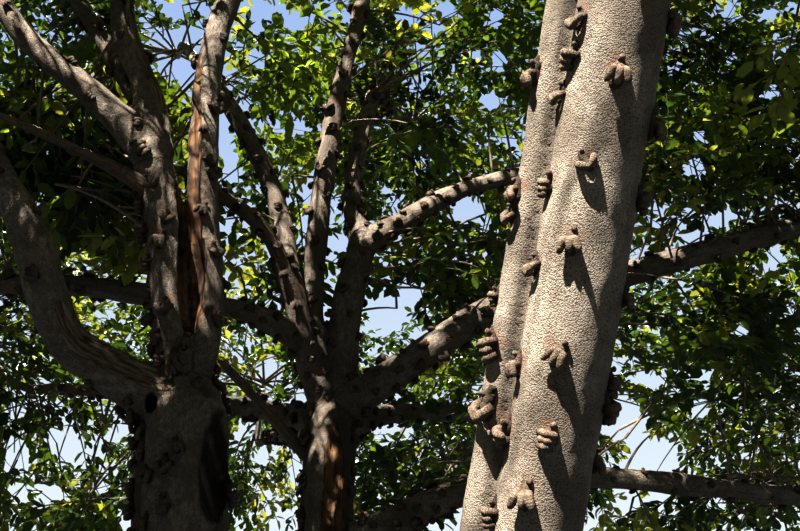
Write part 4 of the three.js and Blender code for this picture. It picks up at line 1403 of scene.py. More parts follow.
def store_limb_space(piece, limbs):
    """Gives the mesh a space that runs along its limbs, and marks where the bark is off."""
    points = mesh_points(piece.data)
    owner, share, offset = limb_places(points, limbs)
    space = np.zeros_like(points)
    for i, limb in enumerate(limbs):
        here = np.nonzero(owner == i)[0]
        if not len(here):
            continue
        line = limb.path.at(np.linspace(0, 1, 65))
        ahead = unit(np.gradient(line, axis=0))
        ahead = ahead[np.clip((share[here] * 64).round().astype(int), 0, 64)]
        side = unit(np.cross(ahead, (0.3, 0.9, 0.1)))
        over = np.cross(side, ahead)
        out = offset[here]
        space[here, 0] = (out * side).sum(1) + limb.seed * 3.1
        space[here, 1] = (out * over).sum(1)
        space[here, 2] = share[here] * limb.length + (out * ahead).sum(1)
    point_values(piece.data, "limb_space", space)
    marks = wound_marks(points)
    for name, mark in (("bare_wood", "bare"), ("rot", "rot"), ("hollow", "hollow")):
        point_values(piece.data, name, marks[mark])
    crease = crease_marks(points, limbs[0]) if limbs[0].is_stem else np.zeros(len(points))
    point_values(piece.data, "crease", crease)
    # All but the right stem's own trunk is rugged, with painted shade in the gaps between its ridges
    rugged = (owner > 0) | (limbs[0] is not LIMBS["right_stem"])
    point_values(piece.data, "rugged", rugged.astype(float))


@cache
def relief_tree():
    """Geometry nodes that give a skin its swellings, its folds and the cracks of bare wood."""
    nodes = Shaping("fig_bark_relief", Swelling_Size="Float", Swelling_Depth="Float",
                    Fold_Size="Float", Fold_Depth="Float", Crack_Depth="Float")
    given = nodes.given
    place = nodes.add("GeometryNodeInputPosition").outputs[0]
    outward = nodes.add("GeometryNodeInputNormal").outputs[0]
    limb = nodes.stored("limb_space", "FLOAT_VECTOR")
    bare = nodes.maths("MAXIMUM", nodes.stored("bare_wood"), nodes.stored("rot"))

    def waves(space, size, depth, *detail):
        """Noise with waves of this size, as heights of this depth."""
        rise = nodes.noise(space, nodes.maths("DIVIDE", 1.0, given[size]), *detail)
        return nodes.times(nodes.maths("SUBTRACT", rise, 0.5), given[depth])

    swell = waves(place, "Swelling Size", "Swelling Depth", 2.0)
    lengthways = nodes.stretched(limb, (1.0, 1.0, 0.3))
    fold = waves(lengthways, "Fold Size", "Fold Depth", 4.0, 0.55)
    fibres = nodes.noise(nodes.stretched(limb, (1.0, 1.0, 0.07)), 26.0, 3.0, 0.6)
    crack = nodes.times(nodes.maths("SUBTRACT", fibres, 0.62), given["Crack Depth"])
    crack = nodes.times(crack, nodes.times(bare, 2.0))
    rise = nodes.maths("ADD", nodes.maths("ADD", swell, fold), crack)
    groove = nodes.times(nodes.stored("crease"), given["Crack Depth"])
    rise = nodes.times(groove, -0.7, plus=rise)
    offset = nodes.add("ShaderNodeVectorMath", {0: outward, "Scale": rise}, operation="SCALE")
    moved = nodes.add("GeometryNodeSetPosition", {
        "Geometry": given["Geometry"], "Offset": offset.outputs[0]})
    return nodes.end(nodes.add("GeometryNodeSetShadeSmooth", {0: moved.outputs[0]}))


def node_modifier(piece, tree, values):
    """Puts a node tree on the piece with its named inputs set."""
    modifier = piece.modifiers.new(tree.name, "NODES")
    modifier.node_group = tree
    for item in tree.interface.items_tree:
        if item.in_out == "INPUT" and item.name in values:
            modifier[item.identifier] = values[item.name]


def add_relief(piece, material, share=1.0):
    settings = bpy.context.scene.fig_bark
    node_modifier(piece, relief_tree(), {
        "Swelling Size": settings.swell_size,
        "Swelling Depth": settings.swell_depth * share,
        "Fold Size": settings.fold_size,
        "Fold Depth": settings.fold_depth * share,
        "Crack Depth": settings.crack_depth * share,
        "Material": material,
    })
    return evaluated_copy(piece, piece.name)


def keep_above_ground(mesh):
    points = mesh_points(mesh)
    points[:, 2] = np.maximum(points[:, 2], 0)
    mesh.vertices.foreach_set("co", points.astype(np.float32).ravel())
    mesh.update()


class FIG_OT_bark(bpy.types.Operator):
    """Skin each stem and its living boughs with bark, down to the root crown"""

    bl_idname = "fig.bark"
    bl_label = "Stems and boughs"

    def execute(self, context):
        settings = context.scene.fig_bark
        for stem, share, relief in BARK_MESHES:
            limbs = living_limbs(stem)
            parts = stem_parts(limbs[0])
            parts += [limb_tube(limb, RING_STEP, 18) for limb in limbs[1:]]
            if stem == "centre_stem":
                parts.append(mound_part())
            if stem == "left_stem":
                parts += hollow_lips()
            piece = mesh_object("bark_" + stem, *merged(parts))
            grain = settings.grain * share
            piece = remesh(piece, grain, cutter_mesh(stem))
            cut_level(piece)
            store_limb_space(piece, limbs)
            piece = add_relief(piece, bark_material(), relief)
            keep_above_ground(piece.data)
            point_values(piece.data, "scar", np.zeros(len(piece.data.vertices)))
            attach(piece, "root")
            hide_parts(*[limb.name for limb in limbs])
            if stem == "centre_stem":
                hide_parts("root_crown")
        return {"FINISHED"}


def splinters(limb):
    """The splinters that stand out of a broken limb's end."""
    parts = []
    root = limb.path.point(0.93)
    for k in range(4):
        out = unit(np.cross(limb.path.tangent(1), direction(90 * k + 30, 40)))
        end = limb.path.point(1) + limb.path.tangent(1) * (0.05 + 0.05 * rnd(limb.seed, k))
        end = end + out * limb.thin * 0.6
        wide = np.array((0.6, 0.5, 0.35, 0.12)) * limb.thin
        share = np.linspace(0, 1, 4)[:, None]
        line = root + out * limb.thin * 0.3 * (1 - share) + (end - root) * share
        parts.append(tubes([line], [wide], 6))
    return parts


class FIG_OT_dead_limbs(bpy.types.Operator):
    """Build the dead and broken limbs, with split ends"""

    bl_idname = "fig.dead_limbs"
    bl_label = "Dead limbs"

    def execute(self, context):
        limbs = [limb for limb in LIMBS.values() if limb.dead]
        parts = []
        for limb in limbs:
            parts += [limb_tube(limb, 0.04, 16), *splinters(limb)]
        piece = mesh_object("dead_limbs", *merged(parts))
        piece = remesh(piece, context.scene.fig_bark.grain * 0.8)
        store_limb_space(piece, limbs)
        point_values(piece.data, "bare_wood", np.full(len(piece.data.vertices), 0.45))
        piece = add_relief(piece, dead_wood_material(), 0.7)
        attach(piece, "root")
        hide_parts(*[limb.name for limb in limbs])
        return {"FINISHED"}


# Knobs


def knob_cluster(seed, sides, rings, plain):
    """A fist of woody lobes. x is across, y up along the bark and z out from it."""
    rng = np.random.default_rng(seed)
    shares = np.linspace(0, 1, rings)
    bulge = 0.8 + 0.28 * np.sin(np.pi * (0.1 + shares * 0.8))
    bulge[-1] *= 0.62
    lines, radii = [], []

    def lobe(points, radius):
        lines.append(Path(points).at(shares))
        radii.append(radius * bulge * rng.uniform(0.94, 1.06, rings))

    side = 1 if seed % 2 else -1
    kind = seed % 3
    if kind == 0:  # lobes that lie across, one on the other
        for i in range(3):
            y = 0.024 - 0.025 * i + rng.uniform(-0.003, 0.003)
            turn = side if i % 2 else -side
            reach = rng.uniform(0.03, 0.042) * (1 - 0.15 * i)
            lobe([(-turn * reach, y + 0.004, 0.0), (-turn * 0.006, y - 0.003, 0.045 - 0.008 * i),
                  (turn * reach, y + rng.uniform(-0.01, 0.012), 0.022)], rng.uniform(0.0145, 0.018))
    elif kind == 1:  # fingers that hang out from under the ridge
        for i in (-1, 0, 1) if rng.uniform() > 0.4 else (-1, 1):
            x = i * rng.uniform(0.018, 0.028)
            lobe([(x * 0.3, 0.026, 0.0), (x * 0.9, 0.012, 0.04), (x * 1.5, -0.03, 0.034)],
                 rng.uniform(0.0125, 0.0155))
    else:  # two lobes that meet in a V round a dark middle
        for i in (-1, 1):
            lobe([(i * 0.034, 0.028, 0.0), (i * 0.032, 0.0, 0.04), (-i * 0.004, -0.03, 0.036)],
                 rng.uniform(0.014, 0.017))
    if plain:
        radii = [radius * 1.2 for radius in radii]
        lobe([(0, 0.045, -0.01), (0, 0.0, 0.008), (0, -0.035, -0.004)], 0.024)
    else:
        lobe([(0, 0.062, -0.01), (0, 0.03, 0.004), (0, -0.03, 0.002)], 0.021)
        x = rng.uniform(-0.014, 0.014)
        lobe([(x * 0.4, 0.05, -0.004), (x, 0.058, 0.014), (x * 1.8, 0.064, rng.uniform(0.022, 0.036))],
             rng.uniform(0.009, 0.012))
        lobe([(-x, 0.086, -0.012), (-x * 0.5, 0.06, 0.0), (0, 0.03, 0.006)], 0.014)
    points, faces = tubes(lines, radii, sides, tip=0.55)
    along = np.append(np.repeat(shares * LOBE_LENGTH, sides), LOBE_TIP)
    waves = np.sin(points @ np.array((190.0, 60.0, 120.0)))
    waves = waves * np.sin(points @ np.array((50.0, 170.0, -90.0)))
    points = points * (1 + 0.05 * waves[:, None])
    # Painted shade: the nearer a point is to the bark, the darker
    fold = np.clip(1.15 - points[:, 2] / FOLD_SHADE_HEIGHT, 0, 1)
    return points, faces, fold, np.tile(along, len(lines))


@cache
def cluster_tree():
    """Geometry nodes that set a cluster on each marked point of the bark."""
    nodes = Shaping("fig_knob_clusters", Clusters="Collection", Size="Float")
    given = nodes.given
    forms = nodes.add("GeometryNodeCollectionInfo", {
        "Collection": given["Clusters"], "Separate Children": True, "Reset Children": True})
    facing, upward = (nodes.stored(name, "FLOAT_VECTOR") for name in ("facing", "upward"))
    turned = nodes.add("FunctionNodeAxesToRotation", {0: facing, 1: upward},
                       primary_axis="Z", secondary_axis="Y")
    return nodes.end(nodes.add("GeometryNodeInstanceOnPoints", {
        "Points": given["Geometry"], "Instance": forms.outputs[0], "Pick Instance": True,
        "Instance Index": nodes.stored("form", "INT"), "Rotation": turned.outputs[0],
        "Scale": nodes.times(nodes.stored("size"), given["Size"])}))


def seat_on_bark(tree, limb, share, outward):
    """Where a ray from outside meets the bark, and which way a knob there faces."""
    reach = float(limb.radius(share)) * 1.9 + 0.12
    start = limb.path.point(share) + outward * reach
    hit, normal, _, distance = tree.ray_cast(start.tolist(), (-outward).tolist(), reach)
    if hit is None or distance < 0.02:
        return None
    if any(mark.max() > 0 for mark in wound_marks(np.array(hit)[None]).values()):
        return None
    return np.array(hit), unit(outward * 0.5 + np.array(normal) * 0.5)


def row_seats(tree, limb):
    """The knobs in the rows that show on a stem."""
    seats = []
    shares = np.linspace(0, 1, 200)
    loose = 1.0 if limb.name == "centre_stem" else 0.25
    full = 0.9 if limb.name == "right_stem" else 0.78
    for bearing, heights in KNOB_ROWS.get(limb.name, ()):
        for k, height in enumerate(heights):
            n = bearing * 7 + k
            high = (height + 70 * loose * (rnd(limb.seed, n) - 0.5)) * MM
            share = np.interp(high, limb.path.at(shares)[:, 2], shares)
            turned = bearing + 34 * loose * (rnd(limb.seed, n + 500) - 0.5)
            seat = seat_on_bark(tree, limb, share, direction(turned))
            if seat:
                size = full + 0.3 * (rnd(limb.seed, n + 900) - 0.5)
                seats.append((*seat, limb.path.tangent(share), size))
    return seats


def spread_seats(tree, limb, spacing, low=0.0, used=()):
    """Knobs all along a limb, each turned on from the last."""
    seats = []
    count = int(limb.length / spacing)
    for k in range(count):
        share = (k + 0.3 + 0.6 * rnd(limb.seed, k)) / count
        if limb.path.point(share)[2] < low or (not limb.is_stem and share * limb.length < 0.12):
            continue
        along = limb.path.tangent(share)
        side = unit(np.cross(along, (0.2, 0.3, 1.0)))
        over = np.cross(side, along)
        turn = math.radians(GOLDEN * k + 360 * rnd(limb.seed, 3))
        seat = seat_on_bark(tree, limb, share, side * math.cos(turn) + over * math.sin(turn))
        if not seat or any(np.linalg.norm(seat[0] - s[0]) < KNOB_GAP for s in used):
            continue
        size = (0.5 + 0.5 * rnd(limb.seed, k + 50)) * (0.64 + 2.2 * min(0.13, float(limb.radius(share))))
        seats.append((*seat, along, size))
    return seats


def redden_scars(mesh, seats):
    """Marks the bark above and round each knob."""
    points = mesh_points(mesh)
    tree = KDTree(len(points))
    for i, point in enumerate(points):
        tree.insert(point, i)
    tree.balance()
    scar = np.zeros(len(points))
    for place, _, upward, size in seats:
        middle = place + upward * 0.035 * size
        for _, i, gap in tree.find_range(middle.tolist(), SCAR_REACH * size):
            scar[i] = max(scar[i], 1 - gap / (SCAR_REACH * size))
    point_values(mesh, "scar", scar)


class FIG_OT_knobs(bpy.types.Operator):
    """Set clusters of woody knobs on the stems and boughs"""

    bl_idname = "fig.knobs"
    bl_label = "Knob clusters"

    def cluster_forms(self, name, sides, rings, plain=False):
        """A hidden collection of differing clusters."""
        forms = bpy.data.collections.new(name)
        for i in range(KNOB_FORMS):
            points, faces, fold, along = knob_cluster(i + 12, sides, rings, plain)
            form = mesh_object(f"{name}_{i}", points, faces)
            point_values(form.data, "fold", fold)
            point_values(form.data, "along_lobe", along)
            bpy.context.scene.collection.objects.unlink(form)
            forms.objects.link(form)
        return forms

    def remove_forms(self, forms):
        for form in list(forms.objects):
            mesh = form.data
            bpy.data.objects.remove(form)
            bpy.data.meshes.remove(mesh)
        bpy.data.collections.remove(forms)

    def place(self, context, name, seats, forms, material):
        """The clusters at these seats, as one piece."""
        rng = np.random.default_rng(len(seats))
        # Each cluster is rolled a little off the limb's line
        seats = [(at, facing, unit(up + np.cross(facing, up) * rng.normal(0, 0.32)), size)
                 for at, facing, up, size in seats]
        places, facings, ups, sizes = (np.array(column) for column in zip(*seats))
        mesh = bpy.data.meshes.new(name)
        mesh.from_pydata((places - facings * KNOB_SINK).tolist(), [], [])
        point_values(mesh, "facing", facings)
        point_values(mesh, "upward", ups)
        point_values(mesh, "size", sizes)
        form = mesh.attributes.new("form", "INT", "POINT")
        form.data.foreach_set("value", rng.integers(0, len(forms.objects), len(seats)).astype(np.int32))
        piece = bpy.data.objects.new(name, mesh)
        bpy.context.scene.collection.objects.link(piece)
        node_modifier(piece, cluster_tree(), {
            "Clusters": forms, "Size": context.scene.fig_knobs.size, "Material": material})
        piece = evaluated_copy(piece, name)
        piece.data.shade_smooth()
        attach(piece, "root")

    def execute(self, context):
        settings = context.scene.fig_knobs
        fine = self.cluster_forms("knob_form_fine", 12, 11)
        plain = self.cluster_forms("knob_form", 6, 4, plain=True)
        wood = knob_material("fig_knob_wood", 1.0)
        # A darker copy of the knob wood, as painted shade, for every knob but those on the right stem's own
        # trunk
        shaded_knob_wood = knob_material("fig_knob_dark", settings.knob_shade_tone)
        for stem, low, wide, close in KNOB_SPREADS:
            bark = bpy.data.objects["bark_" + stem]
            tree = BVHTree.FromObject(bark, context.evaluated_depsgraph_get())
            limbs = living_limbs(stem)
            near = [seat for limb in limbs for seat in row_seats(tree, limb)]
            near += spread_seats(tree, limbs[0], wide, low, near)
            far = []
            for limb in limbs[1:]:
                far += spread_seats(tree, limb, settings.spacing * close, 0, near + far)
            self.place(context, "knobs_" + stem, near, fine, wood if stem == "right_stem" else shaded_knob_wood)
            self.place(context, "knobs_" + stem + "_boughs", far, plain, shaded_knob_wood)
            redden_scars(bark.data, near + far)
        tree = BVHTree.FromObject(bpy.data.objects["dead_limbs"], context.evaluated_depsgraph_get())
        seats = spread_seats(tree, LIMBS["bough_centre_dead"], 0.045)
        self.place(context, "knobs_dead_limb", seats, plain, shaded_knob_wood)
        self.remove_forms(fine)
        self.remove_forms(plain)
        return {"FINISHED"}


# Twigs and leaves


def bowed(starts, ends, rings, rise, rng):
    """Lines from starts to ends that bow a little, as rings of points."""
    share = np.linspace(0, 1, rings)[None, :, None]
    reach = np.linalg.norm(ends - starts, axis=1)[:, None, None]
    sway = rng.normal(0, 0.35, (len(starts), 1, 3)) + UP
    bow = 4 * share * (1 - share) * sway * reach * rise
    return starts[:, None] + (ends - starts)[:, None] * share + bow


def crown_limbs(mass):
    """The limb that grows on from the bough into the mass."""
    shares = np.linspace(0, 1, 22)
    line = mass.path.at(shares)
    back = line[0] - mass.bough.path.tangent(1) * 0.12
    radii = mass.bough.thin * 0.94 + (CROWN_LIMB_TIP - mass.bough.thin * 0.94) * shares
    return tubes([np.vstack([back, line])], [np.concatenate([radii[:1], radii])], 10)


def twig_tubes(twigs, sides, rng):
    """Tapering tubes for twigs, each given as (start, end, radius)."""
    starts, ends, radii = (np.array(column) for column in zip(*twigs))
    lines = bowed(starts, ends, 6, 0.06, rng)
    return tubes(lines, radii[:, None] * np.linspace(1, 0.42, 6), sides)


def spray_shoots(sprays, rng, count):
    """Main shoots of the sprays, and their side shoots as lines with the spray they belong to."""
    keys = ("start", "along", "across", "length", "width")
    start, along, across, length, width = (np.array([spray[key] for spray in sprays]) for key in keys)
    normal = np.cross(along, across)
    mains = bowed(start, start + along * length[:, None], 5, 0.05, rng)
    fill = np.clip(np.round(length / 0.1), 5, count)
    lines, owner = [], []
    for j in range(count):
        here = np.nonzero(j < fill)[0]
        share = 0.16 + 0.8 * (j + 0.5 + rng.uniform(-0.3, 0.3, len(here))) / fill[here]
        root = along_lines(mains, here, share)
        side = np.where(j % 2, 1, -1) * np.ones(len(here))
        ahead = (along[here] * rng.uniform(0.5, 1.0, len(here))[:, None]
                 + across[here] * (side * rng.uniform(0.5, 1.0, len(here)))[:, None]
                 + normal[here] * rng.uniform(-0.8, 0.8, len(here))[:, None])
        profile = 0.55 + 0.5 * np.sin(np.pi * np.clip(share * 0.9 + 0.05, 0, 1))
        reach = width[here] / 2 * profile * rng.uniform(0.75, 1.15, len(here))
        end = root + unit(ahead) * reach[:, None]
        lines.append(bowed(root, end, 3, 0.06, rng))
        owner.append(here)
    return mains, np.vstack(lines), np.concatenate(owner)


def along_lines(lines, which, share):
    """Points at these shares of the lines."""
    place = share * (lines.shape[1] - 1)
    low = np.minimum(place.astype(int), lines.shape[1] - 2)
    part = (place - low)[:, None]
    return lines[which, low] * (1 - part) + lines[which, low + 1] * part


# One leaf: base, tip and two points on each edge, folded a little along its middle
LEAF_POINTS = np.array((
    (0, 0, 0), (1, 0, -0.08), (0.3, 0.46, 0.07), (0.72, 0.42, 0.03),
    (0.3, -0.46, 0.07), (0.72, -0.42, 0.03)))
LEAF_FACES = np.array(((0, 1, 3), (0, 3, 2), (0, 4, 5), (0, 5, 1)))


def shoot_leaves(lines, owner, rng, step, first, size):
    """Leaves set round shoots, closer to the tips: base, direction, lift and length of each."""
    reach = np.linalg.norm(np.diff(lines, axis=1), axis=2).sum(1)
    count = np.maximum(3, np.round(reach * (1 - first) / step)).astype(int)
    phase = rng.uniform(0, 2 * math.pi, len(lines))
    found = []
    for i in range(count.max() + 1):
        here = np.nonzero(i <= count)[0]
        share = first + (1 - first) * (i / count[here]) ** 0.75
        base = along_lines(lines, here, np.minimum(share, 0.995))
        ahead = unit(along_lines(lines, here, np.minimum(share + 0.05, 1)) - base)
        side = unit(np.cross(ahead, UP))
        over = np.cross(side, ahead)
        turn = phase[here] + math.radians(GOLDEN) * i
        out = side * np.cos(turn)[:, None] + over * (0.6 * np.sin(turn))[:, None]
        tip = (i == count[here])[:, None]
        forward = rng.uniform(0.3, 0.8, (len(here), 1))
        aim = np.where(tip, ahead, ahead * forward + out * 0.9)
        aim = unit(aim + UP * rng.uniform(-0.45, 0.15, (len(here), 1)))
        lift = unit(UP + rng.normal(0, 0.5, (len(here), 3)))
        length = size * rng.uniform(0.7, 1.1, len(here))
        found.append((base, aim, lift, length, owner[here]))
    return [np.concatenate(column) for column in zip(*found)]


def leaf_arrays(base, aim, lift, length, wide):
    """The points and faces of leaves."""
    across = unit(np.cross(lift, aim))
    over = np.cross(aim, across)
    axes = np.stack([aim, across * wide, over], axis=1) * length[:, None, None]
    points = base[:, None] + np.einsum("pk,nkc->npc", LEAF_POINTS, axes)
    faces = LEAF_FACES[None] + len(LEAF_POINTS) * np.arange(len(base))[:, None, None]
    return points.reshape(-1, 3), faces.reshape(-1, 3)


def view_axes():
    """The camera's ways ahead and up."""
    pitch = bpy.context.scene.fig_stage.camera_pitch
    ahead = np.array((0, math.cos(pitch), math.sin(pitch)))
    return ahead, np.array((0, -math.sin(pitch), math.cos(pitch)))


def in_view(place, half=VIEW_HALF):
    """Which places in the picture are in the camera's view or just outside it."""
    return (np.abs(place) < half).all(1)


def in_the_open(points):
    """Which points lie in the clear space between the camera and the stems."""
    place, depth = in_picture(points)
    return (depth > 0) & in_view(place) & (points[:, 1] < CLEAR_UP_TO)


@cache
def sun_gaps():
    """The middles and half widths of the gaps that the sun shines through."""
    middles, widths = [], []
    for name, legs, width, share in SUNLIT:
        limb = LIMBS[name]
        count = round((legs[1] - legs[0]) / limb.legs * limb.length / (width * 0.7))
        for k in range(count):
            # Lit and shaded stretches follow each other along the limb
            if math.sin(k * 1.3 + limb.seed * 2) * 0.5 + 0.5 > share:
                continue
            middles.append(limb.path.point((legs[0] + (legs[1] - legs[0]) * (k + 0.5) / count) / limb.legs))
            widths.append(width * (1 if share == 1 else 0.7 + 0.6 * rnd(limb.seed, k)))
    return np.array(middles), np.array(widths)


def in_the_sun_gap(points):
    """Which points would keep the sun off the parts of the limbs that it shines on."""
    near = np.zeros(len(points), bool)
    for middle, width in zip(*sun_gaps()):
        towards = unit(SUN_PLACE - middle)
        away = points - middle
        ahead = away @ towards
        near |= (((away - ahead[:, None] * towards) ** 2).sum(1) < width**2) & (ahead > 0)
    return near


def in_a_sky_opening(points):
    """Which points would close an opening where the sky shows."""
    place, depth = in_picture(points)
    pixels = place * FOCAL_PIXELS * (1, -1) + PICTURE_MIDDLE
    ragged = 1 + 0.25 * np.sin(pixels @ np.array((0.31, 0.23)))
    open_here = np.zeros(len(points), bool)
    for middle, half in SKY_OPENINGS:
        open_here |= (((pixels - middle) / half) ** 2).sum(1) < ragged
    return open_here & (depth > 0)


@cache
def shown_limbs():
    """The limbs that show from the camera: their points, depths and widths in the picture."""
    points, radii = [], []
    for limb in LIMBS.values():
        if limb.name in HIDDEN_BEHIND_LEAVES:
            continue
        shares = np.linspace(0, 1, max(6, round(limb.length / 0.06)))
        points.append(limb.path.at(shares))
        radii.append(limb.radius(shares))
    place, depth = in_picture(np.vstack(points))
    radii = np.concatenate(radii) / depth
    ahead = (depth > 0.5) & in_view(place, (0.5, 0.34))
    return place[ahead], depth[ahead], radii[ahead]


def in_picture(points):
    """Where points fall in the picture, as slopes from its middle, and their depths."""
    away = points - np.array(bpy.context.scene.fig_stage.camera_place)
    ahead, over = view_axes()
    depth = away @ ahead
    safe = np.maximum(depth, 0.05)
    return np.stack([away[:, 0] / safe, away @ over / safe], 1), depth


def veils(points, margin):
    """Which points stand before a limb that shows from the camera."""
    place, depth = in_picture(points)
    limb_place, limb_depth, limb_radius = shown_limbs()
    near = np.zeros(len(points), bool)
    look = np.nonzero((depth > 0.1) & in_view(place))[0]
    for i in range(0, len(look), BLOCK):
        some = look[i:i + BLOCK]
        gap = np.linalg.norm(place[some, None] - limb_place, axis=-1)
        near[some] = ((gap < limb_radius + margin) & (depth[some, None] < limb_depth)).any(1)
    return near


def loose_across(along, rng):
    """A way across a spray that is near to level."""
    return unit(np.cross(rng.normal(0, 0.5, 3) + UP, along))


@cache
def bough_sprays():
    """Leafy shoots that stand on the outer part of the boughs, by the side of the crown."""
    rng = np.random.default_rng(29)
    found = {side: [] for side in SIDES}
    for limb in LIMBS.values():
        if limb.is_stem or limb.dead:
            continue
        side = next((mass.side for mass in CROWN if mass.bough is limb), "back")
        for k in range(int(limb.length * 0.72 / 0.19)):
            share = 1 - 0.72 * (k + rng.uniform(0, 1)) * 0.19 / (limb.length * 0.72)
            root = limb.path.point(share)
            ahead = limb.path.tangent(share)
            turn = unit(np.cross(ahead, rng.normal(0, 1, 3)))
            along = unit(ahead * rng.uniform(0.1, 0.7) + turn + UP * rng.uniform(0, 0.5))
            across = loose_across(along, rng)
            length = rng.uniform(0.5, 1.0)
            start = root + along * float(limb.radius(share)) * 0.8
            spray = spray_shape(start, along, across, length, length * 0.6)
            points = spray_points(**spray)
            if not off_limbs(points[NEAR_ROOT:], LIMB_MARGIN).all() or points[:, 2].max() > 9.5:
                continue
            if not in_the_open(points).any() and not veils(points, 0.015).any():
                found[side].append(spray)
    return found


@cache
def hanging_sprays():
    """Sprays on twigs of their own that fill thin places of the crown behind the limbs."""
    rng = np.random.default_rng(41)
    roots = [limb.path.at(np.linspace(0.4, 1, 14)) for limb in LIMBS.values()
             if not limb.is_stem and not limb.dead]
    roots += [mass.path.at(np.linspace(0.1, 0.95, 12)) for mass in CROWN]
    roots = np.vstack(roots)
    ahead, over = view_axes()
    camera_place = np.array(bpy.context.scene.fig_stage.camera_place)
    twigs = {side: [] for side in SIDES}
    sprays = {side: [] for side in SIDES}
    used = np.zeros(len(roots))

    def gaps_to_roots(places):
        gaps = np.linalg.norm(places[..., None, :] - roots, axis=-1)
        gaps[gaps < 0.45] = 9
        return gaps

    def hang(root, spray):
        """Keeps a spray and its twig where they have room and stand before no limb."""
        points = spray_points(**spray)
        if not off_limbs(points, LIMB_MARGIN).all() or not within_frame(points, SPRAY_PAST_FRAME).all():
            return
        if veils(points, 0.012).any():
            return
        side = "left" if spray["start"][0] < 0 else "right"
        used[root] += 1
        twigs[side].append((roots[root], spray["start"], HANGING_TWIG))
        sprays[side].append(spray)

    for left, right, top, bottom, count in LEAFY_WINDOWS:
        for _ in range(count):
            pixel = np.array((rng.uniform(left, right), rng.uniform(top, bottom)))
            slope = (pixel - PICTURE_MIDDLE) / FOCAL_PIXELS
            ray = ahead + np.array((1, 0, 0)) * slope[0] - over * slope[1]
            places = camera_place + ray * rng.uniform(4.6, 9.5, 16)[:, None]
            gaps = gaps_to_roots(places)
            i, j = np.unravel_index((gaps + 0.4 * used).argmin(), gaps.shape)
            if gaps[i, j] > 1.8:
                continue
            along = unit(unit(places[i] - roots[j]) + rng.normal(0, 0.35, 3) - UP * 0.2)
            across = loose_across(along, rng)
            length = rng.uniform(0.6, 0.95)
            hang(j, spray_shape(places[i] - along * length * 0.45, along, across, length, length * 0.75))
    for name, legs, count in SHADED:
        limb = LIMBS[name]
        for _ in range(count):
            place = limb.path.point(rng.uniform(*legs) / limb.legs)
            towards = unit(SUN_PLACE - place)
            middle = place + towards * rng.uniform(2.4, 6.0) + rng.normal(0, 0.1, 3)
            gaps = gaps_to_roots(middle)
            j = (gaps + 0.2 * used).argmin()
            along = unit(np.cross(towards, rng.normal(0, 1, 3)))
            across = np.cross(towards, along)
            length = rng.uniform(0.6, 0.95)
            spray = spray_shape(middle - along * length * 0.5, along, across, length, length * 0.75)
            if gaps[j] <= 2.0 and not in_the_open(spray_points(**spray)).any():
                hang(j, spray)
    return twigs, sprays


@cache
def leafy_shoots():
    """Every shoot and leaf of the crown, worked out once for twigs and leaves alike."""
    settings = bpy.context.scene.fig_leaves
    rng = np.random.default_rng(settings.seed)
    step = settings.internode * 1
    made = []
    groups = [(mass.side, sprays) for mass, _, sprays in crown_growth()]
    groups += list(bough_sprays().items()) + list(hanging_sprays()[1].items())
    for side, sprays in groups:
        if not sprays:
            continue
        mains, lines, owner = spray_shoots(sprays, rng, settings.shoots)
        whole = ~in_a_sky_opening(mains[:, 2]) & ~in_a_sky_opening(mains[:, 4])
        clear = off_limbs(lines[:, -1], 0.02) & within_frame(lines[:, -1], SHOOT_PAST_FRAME) & whole[owner]
        for points in (lines[:, -1], lines[:, 1]):
            clear &= ~veils(points, 0.0) & ~in_the_sun_gap(points) & ~in_a_sky_opening(points)
        lines, owner = lines[clear], owner[clear]
        mains = mains[whole]
        on_sides = shoot_leaves(lines, owner, rng, step, 0.25, settings.length)
        on_mains = shoot_leaves(mains, np.nonzero(whole)[0], rng, step, 0.5, settings.length)
        leaves = [np.concatenate(pair) for pair in zip(on_sides, on_mains)]
        middles = leaves[0] + leaves[1] * leaves[3][:, None] * 0.5
        tips = leaves[0] + leaves[1] * leaves[3][:, None]
        clear = off_limbs(middles, 0.01) & within_frame(tips, LEAF_PAST_FRAME) & ~veils(middles, 0.004)
        clear &= ~in_the_sun_gap(middles) & ~in_a_sky_opening(middles)
        tints = rng.choice(len(LEAF_TINTS), len(sprays), p=[tint[2] for tint in LEAF_TINTS])
        leaves = [column[clear] for column in leaves]
        made.append((side, mains, lines, leaves, tints[leaves[4]]))
    return made


class FIG_OT_twigs(bpy.types.Operator):
    """Grow the limbs and twigs of the crown on from the boughs"""

    bl_idname = "fig.twigs"
    bl_label = "Twigs"

    def execute(self, context):
        rng = np.random.default_rng(3)
        for side in SIDES:
            parts, masses = [], []
            for mass, twigs, _ in crown_growth():
                if mass.side == side:
                    masses.append(mass.name)
                    parts += [crown_limbs(mass), twig_tubes(twigs, 6, rng)]
            if hanging_sprays()[0][side]:
                parts.append(twig_tubes(hanging_sprays()[0][side], 5, rng))
            for row_side, mains, sides, _, _ in leafy_shoots():
                if row_side == side:
                    parts.append(tubes(mains, np.tile(MAIN_SHOOT, (len(mains), 1)), 4))
                    parts.append(tubes(sides, np.tile(SIDE_SHOOT, (len(sides), 1)), 3))
            piece = mesh_object("twigs_" + side, *merged(parts), twig_material())
            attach(piece, "root")
            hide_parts(*masses)
        return {"FINISHED"}


